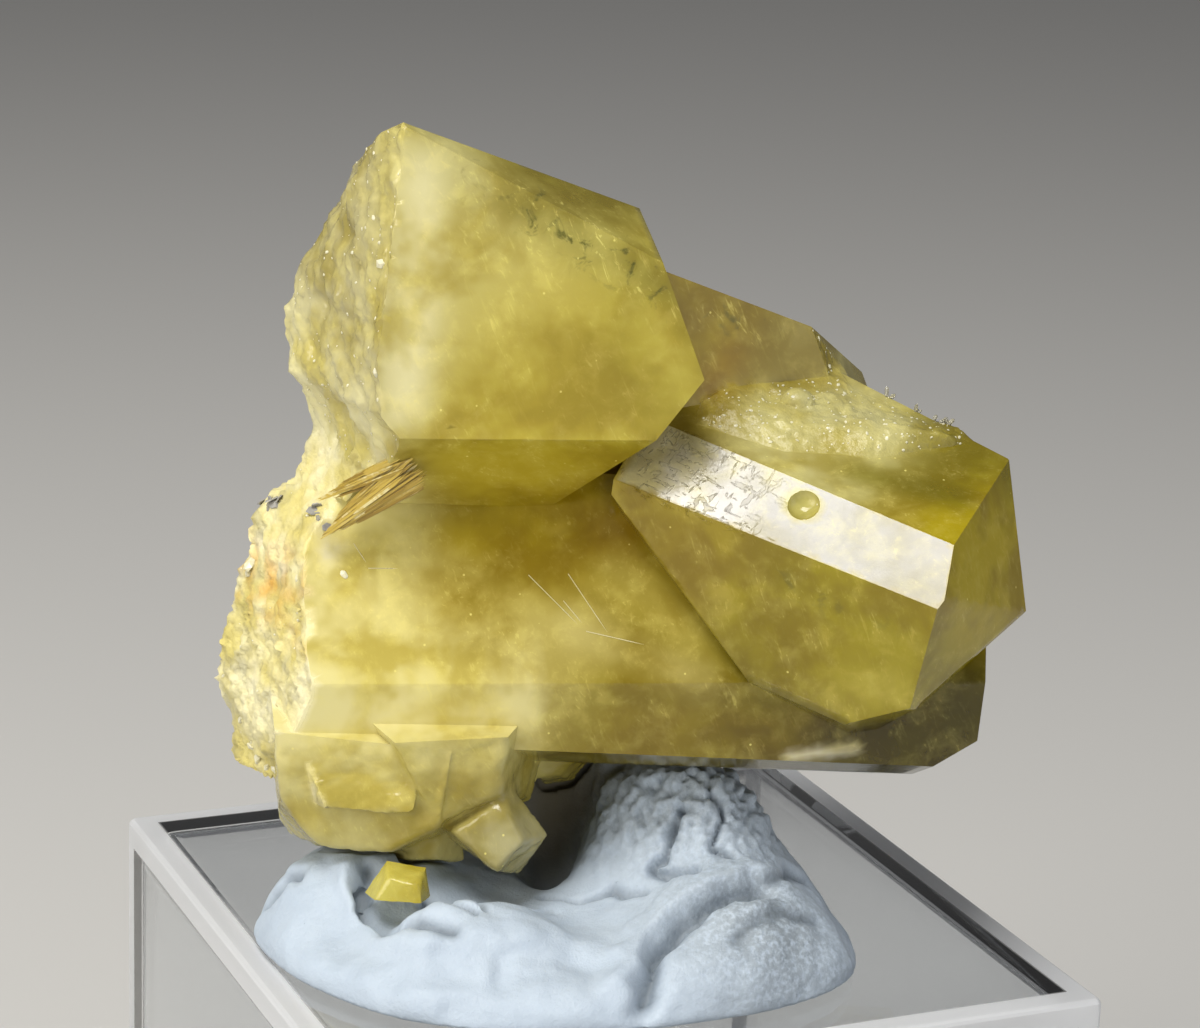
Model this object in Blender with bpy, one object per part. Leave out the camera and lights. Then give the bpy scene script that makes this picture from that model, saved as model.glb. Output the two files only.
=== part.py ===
"""Brazilianite crystal cluster, pressed into putty on a clear display box.

The cluster is modelled in its own frame, in millimetres: the origin is the centre of the box's top,
+X is to the right as the best side is looked at, +Y is away from the viewer and +Z is up. An empty
turns that frame on the box and scales it to metres.
"""

import math

import bmesh
import bpy
from mathutils import Matrix, Vector, noise

MM = 0.001
GAP = 0.3

# Display box: a thin square box, open below, with the specimen on its closed end.
BOX_SIDE = 40.0
BOX_HEIGHT = 25.0
BOX_WALL = 1.6
BOX_EDGE = 0.4

# How the specimen stands on the box, and where the middle of the whole object lies from the box's.
CLUSTER_TURN = -23.4
FRAME_SHIFT = (-0.2, 0.0)

# A crystal is a block cut down by flat faces. Each face is (azimuth, elevation, distance): the way
# it looks, in degrees, and how far it lies from the crystal's centre. Azimuth 0 looks at the viewer,
# 90 to the right, 180 away and -90 to the left.
BLOCK = 90.0
CRYSTALS = {
    "tower": {
        "centre": (-5.5, 0.0, 32.0),
        "faces": {
            "front": (6, 4, 8.6),
            "top": (61, 59, 9.5),
            "left": (-60, 7, 9.5),
            "right": (97, 21, 8.2),
            "lower right": (108, -37, 6.5),
            "bottom front": (6, -45, 9.2),
            "bottom right": (41, -52, 10.6),
            "bottom": (-17, -85, 9.2),
            "back top": (163, 59, 4.95),
            "back": (180, 4, 6.5),
            "back right": (132, 6, 8.6),
            "left upper": (-94, 35, 11.1),
            "back left": (-142, 5, 9.0),
        },
    },
    "prow": {
        "centre": (11.5, -5.0, 20.5),
        "faces": {
            "strip": (-14, 42, 5.9),
            "lower front": (-27, -7, 5.3),
            "crust": (12, 69, 5.9),
            "end upper": (62, 12, 8.45),
            "end lower": (53, -15, 8.4),
            "end bottom": (71, -47, 7.75),
            "underside": (-48, -57, 6.9),
            "underside right": (20, -60, 8.1),
            "back": (120, 4, 8.5),
            "back top": (134, 36, 9.2),
            "back low": (160, -20, 8.0),
            "left low": (-73, -35, 6.7),
            "left": (-118, 10, 10.0),
        },
    },
    "beam": {
        "centre": (1.0, 0.0, 15.0),
        "faces": {
            "band": (2, -4, 8.1),
            "upper": (1, 28, 7.3),
            "top": (0, 84, 10.0),
            "underside": (0, -62, 6.9),
            "bottom": (0, -88, 5.5),
            "right": (95, -3, 17.7),
            "right low": (64, -53, 13.8),
            "back": (180, 10, 6.0),
            "back low": (180, -48, 6.6),
            "left": (-90, 0, 21.5),
            "right upper": (50, 60, 11.5),
        },
    },
    "back_blade": {
        "centre": (4.5, 5.0, 25.0),
        "faces": {
            "front": (25, 12, 7.3),
            "top": (149, 63, 5.9),
            "right": (78, 22, 8.6),
            "back": (175, 5, 4.5),
            "left": (-90, 0, 4.5),
            "left low": (-50, -30, 6.2),
            "bottom": (0, -85, 8.0),
        },
    },
    "root": {
        "centre": (-13.0, 0.0, 18.0),
        "faces": {
            "front": (-5, 24, 4.9),
            "front left": (-62, 4, 8.0),
            "left": (-96, 4, 7.5),
            "top": (-20, 62, 7.0),
            "bottom": (-10, -84, 10.4),
            "back": (180, 6, 6.4),
            "back left": (-140, 5, 7.6),
            "right": (90, 0, 4.0),
        },
    },
    "knuckle": {
        "centre": (-10.6, -5.5, 8.6),
        "faces": {
            "front": (-8, -4, 3.5),
            "bottom": (-3, -75, 3.4),
            "left low": (-60, -35, 5.0),
            "left": (-82, -4, 5.7),
            "right": (80, -8, 3.6),
            "back": (180, -10, 3.4),
            "top": (0, 80, 4.0),
            "bottom right": (41, -52, 3.7),
        },
    },
    "finger": {
        "centre": (-7.2, -6.5, 9.0),
        "faces": {
            "front": (10, -8, 2.7),
            "bottom": (43, -51, 1.9),
            "left": (-60, -27, 2.3),
            "right": (70, -7, 3.1),
            "back": (180, 0, 2.6),
            "top": (0, 80, 4.0),
            "bottom low": (0, -80, 2.4),
        },
    },
    "spur": {
        "centre": (-5.2, -6.8, 6.4),
        "faces": {
            "upper right": (28, 52, 3.0),
            "front": (-10, 12, 2.5),
            "lower left": (-60, -42, 1.5),
            "end": (54, -34, 2.1),
            "end low": (-56, -61, 1.4),
            "back": (170, 10, 0.4),
            "inner": (-58, 48, 2.4),
            "far right": (70, 35, 2.4),
        },
    },
    "bead": {
        "centre": (-8.6, -6.2, 5.0),
        "faces": {
            "front": (0, 0, 1.2),
            "front right": (60, 0, 1.2),
            "front left": (-60, 0, 1.2),
            "bottom": (0, -70, 0.4),
            "back": (180, 0, 1.2),
            "top": (0, 80, 1.6),
        },
    },
    "peg": {
        "centre": (-4.6, -3.6, 9.2),
        "faces": {
            "front": (-30, 0, 0.8),
            "right": (60, 0, 0.9),
            "bottom": (20, -60, 1.2),
            "back": (180, 0, 1.0),
            "left": (-90, 0, 0.9),
            "top": (0, 80, 2.0),
        },
    },
    "stub": {
        "centre": (-2.4, -1.5, 8.6),
        "faces": {
            "front": (10, -10, 1.2),
            "bottom": (20, -60, 1.0),
            "right": (60, -30, 1.2),
            "back": (180, 0, 1.4),
            "left": (-80, -30, 1.0),
            "top": (0, 80, 2.0),
        },
    },
}

# Crystals that grew as one mass, which broke off its rock on the left, and the small ones below it.
MASS = ("prow", "beam", "back_blade", "root")
SMALL = ("knuckle", "finger", "spur", "bead", "peg", "stub")

# The broken left side, as (x, z) points from the top down, at y = 0. It falls back on both sides,
# to the front by the share that goes with its height.
BROKEN_SIDE = (
    (-12.0, 46.0),
    (-12.1, 43.0),
    (-13.4, 39.4),
    (-14.2, 37.4),
    (-16.1, 33.9),
    (-16.6, 31.4),
    (-16.5, 28.6),
    (-15.5, 27.8),
    (-15.2, 25.8),
    (-16.0, 23.4),
    (-17.8, 21.6),
    (-19.1, 17.5),
    (-19.5, 14.8),
    (-20.0, 11.6),
    (-19.2, 8.8),
    (-18.6, 5.0),
)
SIDE_BY_HEIGHT = tuple((z, x) for x, z in reversed(BROKEN_SIDE))
SIDE_TO_FRONT = ((33.0, 0.58), (39.0, 0.12))
SIDE_TO_BACK = 0.42
SIDE_REACH = 14.0
SIDE_STEP = 1.0
SIDE_ROUGH = 0.55

# Etched crust on the prow's upper face: a bumpy sheet, from near the bright strip back to the crest.
# Its places are (along, across) the face from the point nearest to the prow's centre.
CRUST_ALONG = (-8.0, 6.8)
CRUST_FRONT = ((-8.0, 3.0), (-3.0, 1.0), (1.5, 1.4), (4.5, 3.0), (6.8, 4.0))
CRUST_CREST = ((-8.0, 11.2), (-0.1, 11.2), (0.5, 9.2), (2.9, 7.5), (3.6, 6.5), (5.8, 5.8), (6.8, 4.7))
CRUST_CELLS = (24, 13)
CRUST_BUMP = 1.5
CRUST_HEIGHT = 0.75
CRUST_DEPTH = 1.6
KNOB_CENTRE = (9.6, -1.9, 28.3)
KNOB_RADIUS = 1.0

# Round pit in the prow's bright strip face.
PIT_CENTRE = (9.75, -8.95, 25.3)
PIT_RADIUS = 0.95

# Golden mica flake in the notch under the tower, from its low end to its high end.
FLAKE_LOW = (-14.2, -5.5, 21.6)
FLAKE_HIGH = (-8.8, -8.1, 26.5)
FLAKE_THICK = 0.6
FLAKE_OUTLINE = (
    (-0.52, -0.3),
    (-0.36, -0.95),
    (-0.1, -0.75),
    (0.12, -0.9),
    (0.36, -0.55),
    (0.5, -0.1),
    (0.44, 0.5),
    (0.2, 0.7),
    (-0.02, 0.95),
    (-0.2, 0.6),
    (-0.4, 0.55),
)

# Loose chip of crystal pressed into the putty.
CHIP_CENTRE = (-9.5, -10.2, 4.9)
CHIP_FACES = {
    "front": (-10, 10, 0.75),
    "top": (20, 75, 0.5),
    "left": (-75, 30, 0.95),
    "right": (80, 10, 1.05),
    "upper right": (50, 45, 0.9),
    "back": (175, 0, 0.8),
    "bottom": (0, -80, 0.8),
}

# Putty pad: a rounded outline, filled to a height that lumps raise or press in. A lump is its place,
# its spread both ways and its rise.
PUTTY_CENTRE = (-1.9, -7.0)
PUTTY_RADII = (15.8, 10.3)
PUTTY_BASE = 2.6
PUTTY_LUMPS = (
    (-12.5, -5.5, 5.0, 4.5, 2.9),
    (-6.0, -12.4, 4.5, 3.0, 1.7),
    (4.8, -2.2, 5.9, 4.4, 6.5),
    (7.8, -9.6, 5.0, 4.6, 2.4),
    (-1.8, -2.6, 1.6, 2.2, -3.4),
    (-1.5, 1.2, 4.8, 2.2, 6.4),
    (-9.5, -10.0, 1.7, 1.5, -1.5),
)
PUTTY_SPOKES = 56
PUTTY_RINGS = 13
PUTTY_ROUGH = 0.35


def looks(azimuth, elevation):
    """The unit vector that a face at this azimuth and elevation looks along."""
    turn, tilt = math.radians(azimuth), math.radians(elevation)
    return Vector((math.sin(turn) * math.cos(tilt), -math.cos(turn) * math.cos(tilt), math.sin(tilt)))


def cut_to(bm, point, normal):
    """Cut away what lies beyond a plane, and close the cut with a flat face."""
    everything = bm.verts[:] + bm.edges[:] + bm.faces[:]
    cut = bmesh.ops.bisect_plane(
        bm, geom=everything, dist=1e-5, plane_co=point, plane_no=normal, clear_outer=True
    )
    rim = [item for item in cut["geom_cut"] if isinstance(item, bmesh.types.BMEdge)]
    if len(rim) > 2:
        bmesh.ops.edgeloop_fill(bm, edges=rim)


def crystal_bmesh(centre, faces, extra=0.0):
    """A convex crystal about its centre. A value for extra moves every face out by that much."""
    bm = bmesh.new()
    bmesh.ops.create_cube(bm, size=BLOCK)
    for azimuth, elevation, distance in faces.values():
        normal = looks(azimuth, elevation)
        cut_to(bm, normal * (distance + extra), normal)
    bmesh.ops.recalc_face_normals(bm, faces=bm.faces)
    bmesh.ops.translate(bm, verts=bm.verts, vec=Vector(centre))
    return bm


def tidy_solid(bm):
    """Join doubled points, split faces that aren't flat and turn every face outward."""
    bmesh.ops.remove_doubles(bm, verts=bm.verts, dist=1e-4)
    bmesh.ops.connect_verts_nonplanar(bm, angle_limit=1e-4, faces=bm.faces)
    bmesh.ops.recalc_face_normals(bm, faces=bm.faces)
    return bm


def crystal(name, extra=0.0):
    """One of the crystals in CRYSTALS."""
    form = CRYSTALS[name]
    return crystal_bmesh(form["centre"], form["faces"], extra)


def along_line(points, x):
    """The y at x of a line through (x, y) points in rising x."""
    for (x_low, low), (x_high, high) in zip(points, points[1:]):
        if x <= x_high:
            share = max(0.0, (x - x_low) / (x_high - x_low))
            return low + (high - low) * share
    return points[-1][1]


def side_x(y, z):
    """Where the broken side lies at this depth and height."""
    fall = along_line(SIDE_TO_FRONT, z) * max(0.0, -y) + SIDE_TO_BACK * max(0.0, y)
    rough = noise.noise(Vector((3.1, y * 0.45, z * 0.45))) + 0.6 * noise.noise(Vector((7.7, y, z)))
    return along_line(SIDE_BY_HEIGHT, z) + fall + SIDE_ROUGH * rough


def side_cutter_bmesh():
    """The space left of the broken side, as a block with one rough wall."""
    bm = bmesh.new()
    top, bottom = BROKEN_SIDE[0][1], BROKEN_SIDE[-1][1]
    rows = round((top - bottom) / SIDE_STEP)
    columns = round(2 * SIDE_REACH / SIDE_STEP)
    grid = []
    for row in range(rows + 1):
        z = bottom + (top - bottom) * row / rows
        depths = [-SIDE_REACH + 2 * SIDE_REACH * column / columns for column in range(columns + 1)]
        grid.append([bm.verts.new((side_x(y, z), y, z)) for y in depths])
    wall = []
    for low, high in zip(grid, grid[1:]):
        for column in range(columns):
            wall.append(bm.faces.new((low[column], low[column + 1], high[column + 1], high[column])))
    pushed = bmesh.ops.extrude_face_region(bm, geom=wall)["geom"]
    for vert in (item for item in pushed if isinstance(item, bmesh.types.BMVert)):
        vert.co.x = -BLOCK / 2
    return tidy_solid(bm)


def crust_height(u, v, share_u, share_v):
    """The crust's rise over the face: rounded cells that thin out to its front, its crest and its ends."""
    cell = noise.voronoi(Vector((u, v, 2.0)) / CRUST_BUMP)[0][0]
    dome = math.sqrt(max(0.0, 1.0 - cell**2))
    edge = min(share_v * 4.0, (1.0 - share_v) * 1.4 + 0.1, share_u * 7.0, (1.0 - share_u) * 7.0, 1.0)
    return (0.3 + 0.7 * dome) * CRUST_HEIGHT * edge - 0.3 * (1.0 - edge)


def crust_bmesh():
    """The bumpy sheet on the prow's upper face, with its foot inside the crystal."""
    bm = bmesh.new()
    form = CRYSTALS["prow"]
    up = looks(*form["faces"]["crust"][:2])
    along = Vector((1.0, 0.0, 0.0)).cross(up).cross(up).normalized() * -1.0
    across = up.cross(along)
    start = Vector(form["centre"]) + up * form["faces"]["crust"][2]
    columns, rows = CRUST_CELLS
    grid = []
    for column in range(columns + 1):
        share_u = column / columns
        u = CRUST_ALONG[0] + (CRUST_ALONG[1] - CRUST_ALONG[0]) * share_u
        front, crest = along_line(CRUST_FRONT, u), along_line(CRUST_CREST, u)
        line = []
        for row in range(rows + 1):
            share_v = row / rows
            v = front + (crest - front) * share_v
            height = crust_height(u, v, share_u, share_v)
            line.append(bm.verts.new(start + along * u + across * v + up * height))
        grid.append(line)
    sheet = []
    for left, right in zip(grid, grid[1:]):
        for row in range(rows):
            sheet.append(bm.faces.new((left[row], right[row], right[row + 1], left[row + 1])))
    pushed = bmesh.ops.extrude_face_region(bm, geom=sheet)["geom"]
    for vert in (item for item in pushed if isinstance(item, bmesh.types.BMVert)):
        vert.co -= up * (CRUST_DEPTH + (vert.co - start).dot(up))
    return tidy_solid(bm)


def knob_bmesh():
    """The one round bump that stands out of the crust."""
    bm = bmesh.new()
    place = Matrix.Translation(Vector(KNOB_CENTRE))
    bmesh.ops.create_icosphere(bm, subdivisions=2, radius=KNOB_RADIUS, matrix=place)
    return bm


def pit_bmesh():
    """The ball that leaves the round pit."""
    bm = bmesh.new()
    bmesh.ops.create_icosphere(
        bm, subdivisions=3, radius=PIT_RADIUS, matrix=Matrix.Translation(Vector(PIT_CENTRE))
    )
    return bm


def flake_bmesh():
    """A thin splintery plate between its two ends, facing the viewer."""
    low, high = Vector(FLAKE_LOW), Vector(FLAKE_HIGH)
    along = high - low
    out = looks(-20, -6)
    across = out.cross(along).normalized()
    middle = (low + high) / 2
    bm = bmesh.new()
    rim = [bm.verts.new(middle + along * a + across * b) for a, b in FLAKE_OUTLINE]
    plate = bm.faces.new(rim)
    pushed = bmesh.ops.extrude_face_region(bm, geom=[plate])["geom"]
    moved = [item for item in pushed if isinstance(item, bmesh.types.BMVert)]
    bmesh.ops.translate(bm, verts=moved, vec=out * FLAKE_THICK)
    return tidy_solid(bm)


def putty_height(x, y):
    """How high the putty stands over the box, away from its rim."""
    height = PUTTY_BASE
    for lump_x, lump_y, spread_x, spread_y, rise in PUTTY_LUMPS:
        distance = ((x - lump_x) / spread_x) ** 2 + ((y - lump_y) / spread_y) ** 2
        height += rise * math.exp(-(distance**1.5))
    return height + PUTTY_ROUGH * noise.noise(Vector((x * 0.35, y * 0.35, 1.5)))


def putty_bmesh():
    """The pad as rings of points that rise steeply from its rim."""
    bm = bmesh.new()
    centre_x, centre_y = PUTTY_CENTRE
    rings = []
    for ring in range(PUTTY_RINGS):
        share = math.sin(math.pi / 2 * (1.0 - ring / PUTTY_RINGS))
        points = []
        for spoke in range(PUTTY_SPOKES):
            turn = math.tau * spoke / PUTTY_SPOKES
            wave = noise.noise(Vector((math.cos(turn) * 1.3, math.sin(turn) * 1.3, 8.2)))
            reach = 1.0 + 0.1 * wave + 0.03 * math.sin(3 * turn)
            x = centre_x + PUTTY_RADII[0] * reach * share * math.cos(turn)
            y = centre_y + PUTTY_RADII[1] * reach * share * math.sin(turn)
            rim = math.sqrt(1.0 - share**6)
            points.append(bm.verts.new((x, y, GAP + putty_height(x, y) * rim)))
        rings.append(points)
    for outer, inner in zip(rings, rings[1:]):
        for spoke in range(PUTTY_SPOKES):
            after = (spoke + 1) % PUTTY_SPOKES
            bm.faces.new((outer[spoke], outer[after], inner[after], inner[spoke]))
    bm.faces.new(rings[-1])
    bm.faces.new(reversed(rings[0]))
    return tidy_solid(bm)


def box_bmesh(side, low, high):
    """A square block about the origin between two heights."""
    bm = bmesh.new()
    size = Matrix.Diagonal((side, side, high - low, 1.0))
    bmesh.ops.create_cube(bm, size=1.0, matrix=Matrix.Translation((0, 0, (low + high) / 2)) @ size)
    return bm


def make_material(name, colour, roughness, transmission=0.0):
    """A Principled material, with a colour in linear values."""
    material = bpy.data.materials.new(name)
    material.use_nodes = True
    shader = material.node_tree.nodes["Principled BSDF"]
    shader.inputs["Base Color"].default_value = (*colour, 1.0)
    shader.inputs["Roughness"].default_value = roughness
    shader.inputs["Metallic"].default_value = 0.0
    shader.inputs["Transmission Weight"].default_value = transmission
    material.diffuse_color = (*colour, 1.0)
    return material


def add_object(name, bm, parent, material=None, helper=None, smooth=False):
    """Put a mesh in the scene in metres. One that goes into a helper collection isn't drawn."""
    bm.transform(Matrix.Scale(MM, 4))
    mesh = bpy.data.meshes.new(name)
    bm.to_mesh(mesh)
    bm.free()
    for polygon in mesh.polygons:
        polygon.use_smooth = smooth
    thing = bpy.data.objects.new(name, mesh)
    thing.parent = parent
    if material:
        mesh.materials.append(material)
    if helper:
        thing.hide_render = True
        thing.display_type = "WIRE"
    (helper or bpy.context.scene.collection).objects.link(thing)
    return thing


def helper_collection(name):
    """A collection of shapes that only join to or cut others."""
    helper = bpy.data.collections.new(name)
    helper.hide_render = True
    bpy.context.scene.collection.children.link(helper)
    return helper


def combine(thing, operation, helper):
    """Join a collection to an object, or cut it away."""
    step = thing.modifiers.new(f"{operation.title()} {helper.name}", "BOOLEAN")
    step.operation = operation
    step.operand_type = "COLLECTION"
    step.collection = helper
    step.solver = "EXACT"


def build_cluster(frame, material):
    """The grown mass, broken on its left, with its small crystals, crust and pit."""
    mass = helper_collection("grown_mass")
    for name in MASS:
        add_object(f"form_{name}", crystal(name), frame, helper=mass)
    side = helper_collection("broken_side")
    add_object("form_broken_side", side_cutter_bmesh(), frame, helper=side)
    late = helper_collection("late_growth")
    for name in SMALL:
        add_object(f"form_{name}", crystal(name), frame, helper=late)
    add_object("form_crust", crust_bmesh(), frame, helper=late)
    add_object("form_knob", knob_bmesh(), frame, helper=late)
    pit = helper_collection("round_pit")
    add_object("form_pit", pit_bmesh(), frame, helper=pit)
    cluster = add_object("brazilianite_cluster", crystal("tower"), frame, material)
    combine(cluster, "UNION", mass)
    combine(cluster, "DIFFERENCE", side)
    combine(cluster, "UNION", late)
    combine(cluster, "DIFFERENCE", pit)
    return cluster


def clearance_collection(frame):
    """The crystals again, each larger by the gap that other pieces keep from them."""
    clearance = helper_collection("clearance")
    for name in ("tower", *MASS, *SMALL):
        add_object(f"clear_{name}", crystal(name, GAP), frame, helper=clearance)
    add_object("clear_chip", crystal_bmesh(CHIP_CENTRE, CHIP_FACES, GAP), frame, helper=clearance)
    return clearance


def build_box(frame, material):
    """The display box: a square cup turned over."""
    box = add_object("display_box", box_bmesh(BOX_SIDE, -BOX_HEIGHT, 0.0), frame, material)
    edge = box.modifiers.new("Moulded edges", "BEVEL")
    edge.width = BOX_EDGE * MM
    edge.segments = 2
    inside = helper_collection("box_inside")
    inner = box_bmesh(BOX_SIDE - 2 * BOX_WALL, -BOX_HEIGHT - BOX_WALL, -BOX_WALL)
    add_object("form_box_inside", inner, frame, helper=inside)
    combine(box, "DIFFERENCE", inside)
    return box


def clear_scene():
    """Remove what the startup scene holds."""
    for thing in list(bpy.data.objects):
        bpy.data.objects.remove(thing)


def main():
    """Build the pieces at their real sizes."""
    clear_scene()
    scene = bpy.context.scene
    stand = bpy.data.objects.new("box_frame", None)
    stand.location = (FRAME_SHIFT[0] * MM, FRAME_SHIFT[1] * MM, BOX_HEIGHT * MM)
    scene.collection.objects.link(stand)
    specimen = bpy.data.objects.new("specimen_frame", None)
    specimen.parent = stand
    specimen.rotation_euler = (0.0, 0.0, math.radians(CLUSTER_TURN))
    scene.collection.objects.link(specimen)

    brazilianite = make_material("Brazilianite", (0.56, 0.52, 0.11), 0.15, 0.5)
    mica = make_material("Golden mica", (0.38, 0.25, 0.03), 0.4)
    putty = make_material("Mineral putty", (0.42, 0.52, 0.62), 0.7)
    plastic = make_material("Clear moulded plastic", (0.85, 0.87, 0.9), 0.05, 1.0)

    build_cluster(specimen, brazilianite)
    clearance = clearance_collection(specimen)
    flake = add_object("mica_flake", flake_bmesh(), specimen, mica)
    combine(flake, "DIFFERENCE", clearance)
    add_object("crystal_chip", crystal_bmesh(CHIP_CENTRE, CHIP_FACES), specimen, brazilianite)
    pad = add_object("putty_pad", putty_bmesh(), specimen, putty, smooth=True)
    combine(pad, "DIFFERENCE", clearance)
    build_box(stand, plastic)


if __name__ == "__main__":
    main()
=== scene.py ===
"""Looks of a brazilianite crystal cluster that is pressed into putty on a clear display box.

Shapes are worked out in the specimen's own frame, in millimetres: the origin is the centre of the
box's top, +X is to the right as the best side is looked at, +Y away from the viewer and +Z up.
"""

import logging
import math
import random
from collections.abc import Callable, Sequence
from dataclasses import dataclass, field
from enum import Enum

import bmesh
import bpy
import numpy as np
from mathutils import Matrix, Vector, noise
from mathutils.bvhtree import BVHTree


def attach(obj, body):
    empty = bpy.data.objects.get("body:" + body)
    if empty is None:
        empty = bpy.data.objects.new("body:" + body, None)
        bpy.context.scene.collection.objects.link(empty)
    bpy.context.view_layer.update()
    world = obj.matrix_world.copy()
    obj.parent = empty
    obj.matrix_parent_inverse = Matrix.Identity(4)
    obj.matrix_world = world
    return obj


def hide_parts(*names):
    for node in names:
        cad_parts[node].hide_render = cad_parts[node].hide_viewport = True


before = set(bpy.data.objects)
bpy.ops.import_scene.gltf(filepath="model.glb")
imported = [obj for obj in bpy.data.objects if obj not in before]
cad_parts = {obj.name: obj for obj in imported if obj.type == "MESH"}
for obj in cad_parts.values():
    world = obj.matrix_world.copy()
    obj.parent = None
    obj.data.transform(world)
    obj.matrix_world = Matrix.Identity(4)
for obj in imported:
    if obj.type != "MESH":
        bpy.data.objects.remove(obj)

LOG = logging.getLogger("crystal_cluster")
MM = 0.001
ROOT = "root"

Point = tuple[float, float, float]
Colour = tuple[float, float, float, float]


def linear(hex_value: str) -> Colour:
    """Turn an sRGB hex value into a linear colour.

    Args:
        hex_value: six hex digits after a hash sign.

    Returns:
        Linear red, green and blue, and an alpha of one.
    """
    parts = [int(hex_value[i : i + 2], 16) / 255 for i in (1, 3, 5)]
    red, green, blue = (c / 12.92 if c <= 0.04045 else ((c + 0.055) / 1.055) ** 2.4 for c in parts)
    return red, green, blue, 1.0


def looks(azimuth: float, elevation: float) -> Vector:
    """Give the unit vector that a crystal face looks along.

    Args:
        azimuth: degrees, 0 at the viewer and 90 to the right.
        elevation: degrees above the level.

    Returns:
        The face's outward direction in the specimen's frame.
    """
    turn, tilt = math.radians(azimuth), math.radians(elevation)
    return Vector((math.sin(turn) * math.cos(tilt), -math.cos(turn) * math.cos(tilt), math.sin(tilt)))


def along_line(points: Sequence[tuple[float, float]], x: float) -> float:
    """Read a line of points at one place.

    Args:
        points: (x, y) points in rising x.
        x: the place to read.

    Returns:
        The line's y there, and its end value beyond its ends.
    """
    for (x_low, low), (x_high, high) in zip(points, points[1:]):
        if x <= x_high:
            return low + (high - low) * max(0.0, (x - x_low) / (x_high - x_low))
    return points[-1][1]


def add_node(tree: bpy.types.NodeTree, kind: str, links: dict | None = None, **settings) -> bpy.types.Node:
    """Add a node to a tree, with its settings and its inputs.

    Args:
        tree: the tree that gets the node.
        kind: the node's type name.
        links: input name or index to a socket, which is linked, or to a value, which is set.
        settings: the node's own properties.

    Returns:
        The new node.
    """
    node = tree.nodes.new(kind)
    for name, value in settings.items():
        setattr(node, name, value)
    for key, value in (links or {}).items():
        if isinstance(value, bpy.types.NodeSocket):
            tree.links.new(value, node.inputs[key])
        else:
            node.inputs[key].default_value = value
    return node


def new_material(name: str) -> tuple[bpy.types.Material, bpy.types.NodeTree]:
    """Make a material with an empty node tree.

    Args:
        name: the material's name.

    Returns:
        The material and its tree.
    """
    material = bpy.data.materials.new(name)
    material.use_nodes = True
    material.node_tree.nodes.clear()
    return material, material.node_tree


@dataclass(frozen=True)
class SpecimenFrame:
    """Where the specimen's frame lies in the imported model."""

    turn: float = -23.4
    shift: Point = (-0.2, 0.0, 25.0)

    def to_model(self) -> Matrix:
        """Give the matrix from specimen millimetres to model metres."""
        place = Matrix.Translation(Vector(self.shift) * MM)
        return place @ Matrix.Rotation(math.radians(self.turn), 4, "Z") @ Matrix.Scale(MM, 4)

    def to_specimen(self) -> Matrix:
        """Give the matrix from model metres to specimen millimetres."""
        return self.to_model().inverted()


SPECIMEN = SpecimenFrame()


def make_object(name: str, bm: bmesh.types.BMesh, material: bpy.types.Material) -> bpy.types.Object:
    """Put a mesh in specimen millimetres into the scene, riding on the object.

    Args:
        name: the piece's name.
        bm: its mesh, which is used up.
        material: its finish.

    Returns:
        The new object.
    """
    bm.transform(SPECIMEN.to_model())
    mesh = bpy.data.meshes.new(name)
    bm.to_mesh(mesh)
    bm.free()
    mesh.materials.append(material)
    thing = bpy.data.objects.new(name, mesh)
    bpy.context.scene.collection.objects.link(thing)
    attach(thing, ROOT)
    return thing


def node_mesh(node: str) -> bmesh.types.BMesh:
    """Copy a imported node's mesh into specimen millimetres.

    Args:
        node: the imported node's name.

    Returns:
        A new mesh with doubled points joined.
    """
    bm = bmesh.new()
    bm.from_mesh(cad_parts[node].data)
    bm.transform(SPECIMEN.to_specimen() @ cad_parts[node].matrix_world)
    bmesh.ops.remove_doubles(bm, verts=bm.verts, dist=0.002)
    bmesh.ops.dissolve_degenerate(bm, edges=bm.edges, dist=0.002)
    return bm


def refine(bm: bmesh.types.BMesh, wanted: Callable[[bmesh.types.BMEdge], float], rounds: int) -> None:
    """Split edges that are longer than wanted, and keep every face a triangle.

    Args:
        bm: the mesh to change.
        wanted: gives the longest length that an edge may keep.
        rounds: how often the edges are halved at most.
    """
    for _ in range(rounds):
        wide = [edge for edge in bm.edges if edge.calc_length() > wanted(edge)]
        if not wide:
            return
        bmesh.ops.subdivide_edges(bm, edges=wide, cuts=1, use_grid_fill=False)
        bmesh.ops.triangulate(bm, faces=[face for face in bm.faces if len(face.verts) > 3])


def set_attribute(mesh: bpy.types.Mesh, name: str, values: np.ndarray) -> None:
    """Store one value or colour at each point of a mesh.

    Args:
        mesh: the mesh.
        name: the attribute's name.
        values: one row a point, with one number or four.
    """
    kind, key = ("FLOAT_COLOR", "color") if values.ndim == 2 else ("FLOAT", "value")
    mesh.attributes.new(name, kind, "POINT").data.foreach_set(key, values.astype(np.float32).ravel())


def shade(mesh: bpy.types.Mesh, sharp_degrees: float) -> None:
    """Shade a mesh smooth, apart from edges sharper than an angle.

    Args:
        mesh: the mesh.
        sharp_degrees: the angle from which an edge stays sharp.
    """
    mesh.polygons.foreach_set("use_smooth", [True] * len(mesh.polygons))
    mesh.set_sharp_from_angle(angle=math.radians(sharp_degrees))


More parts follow.
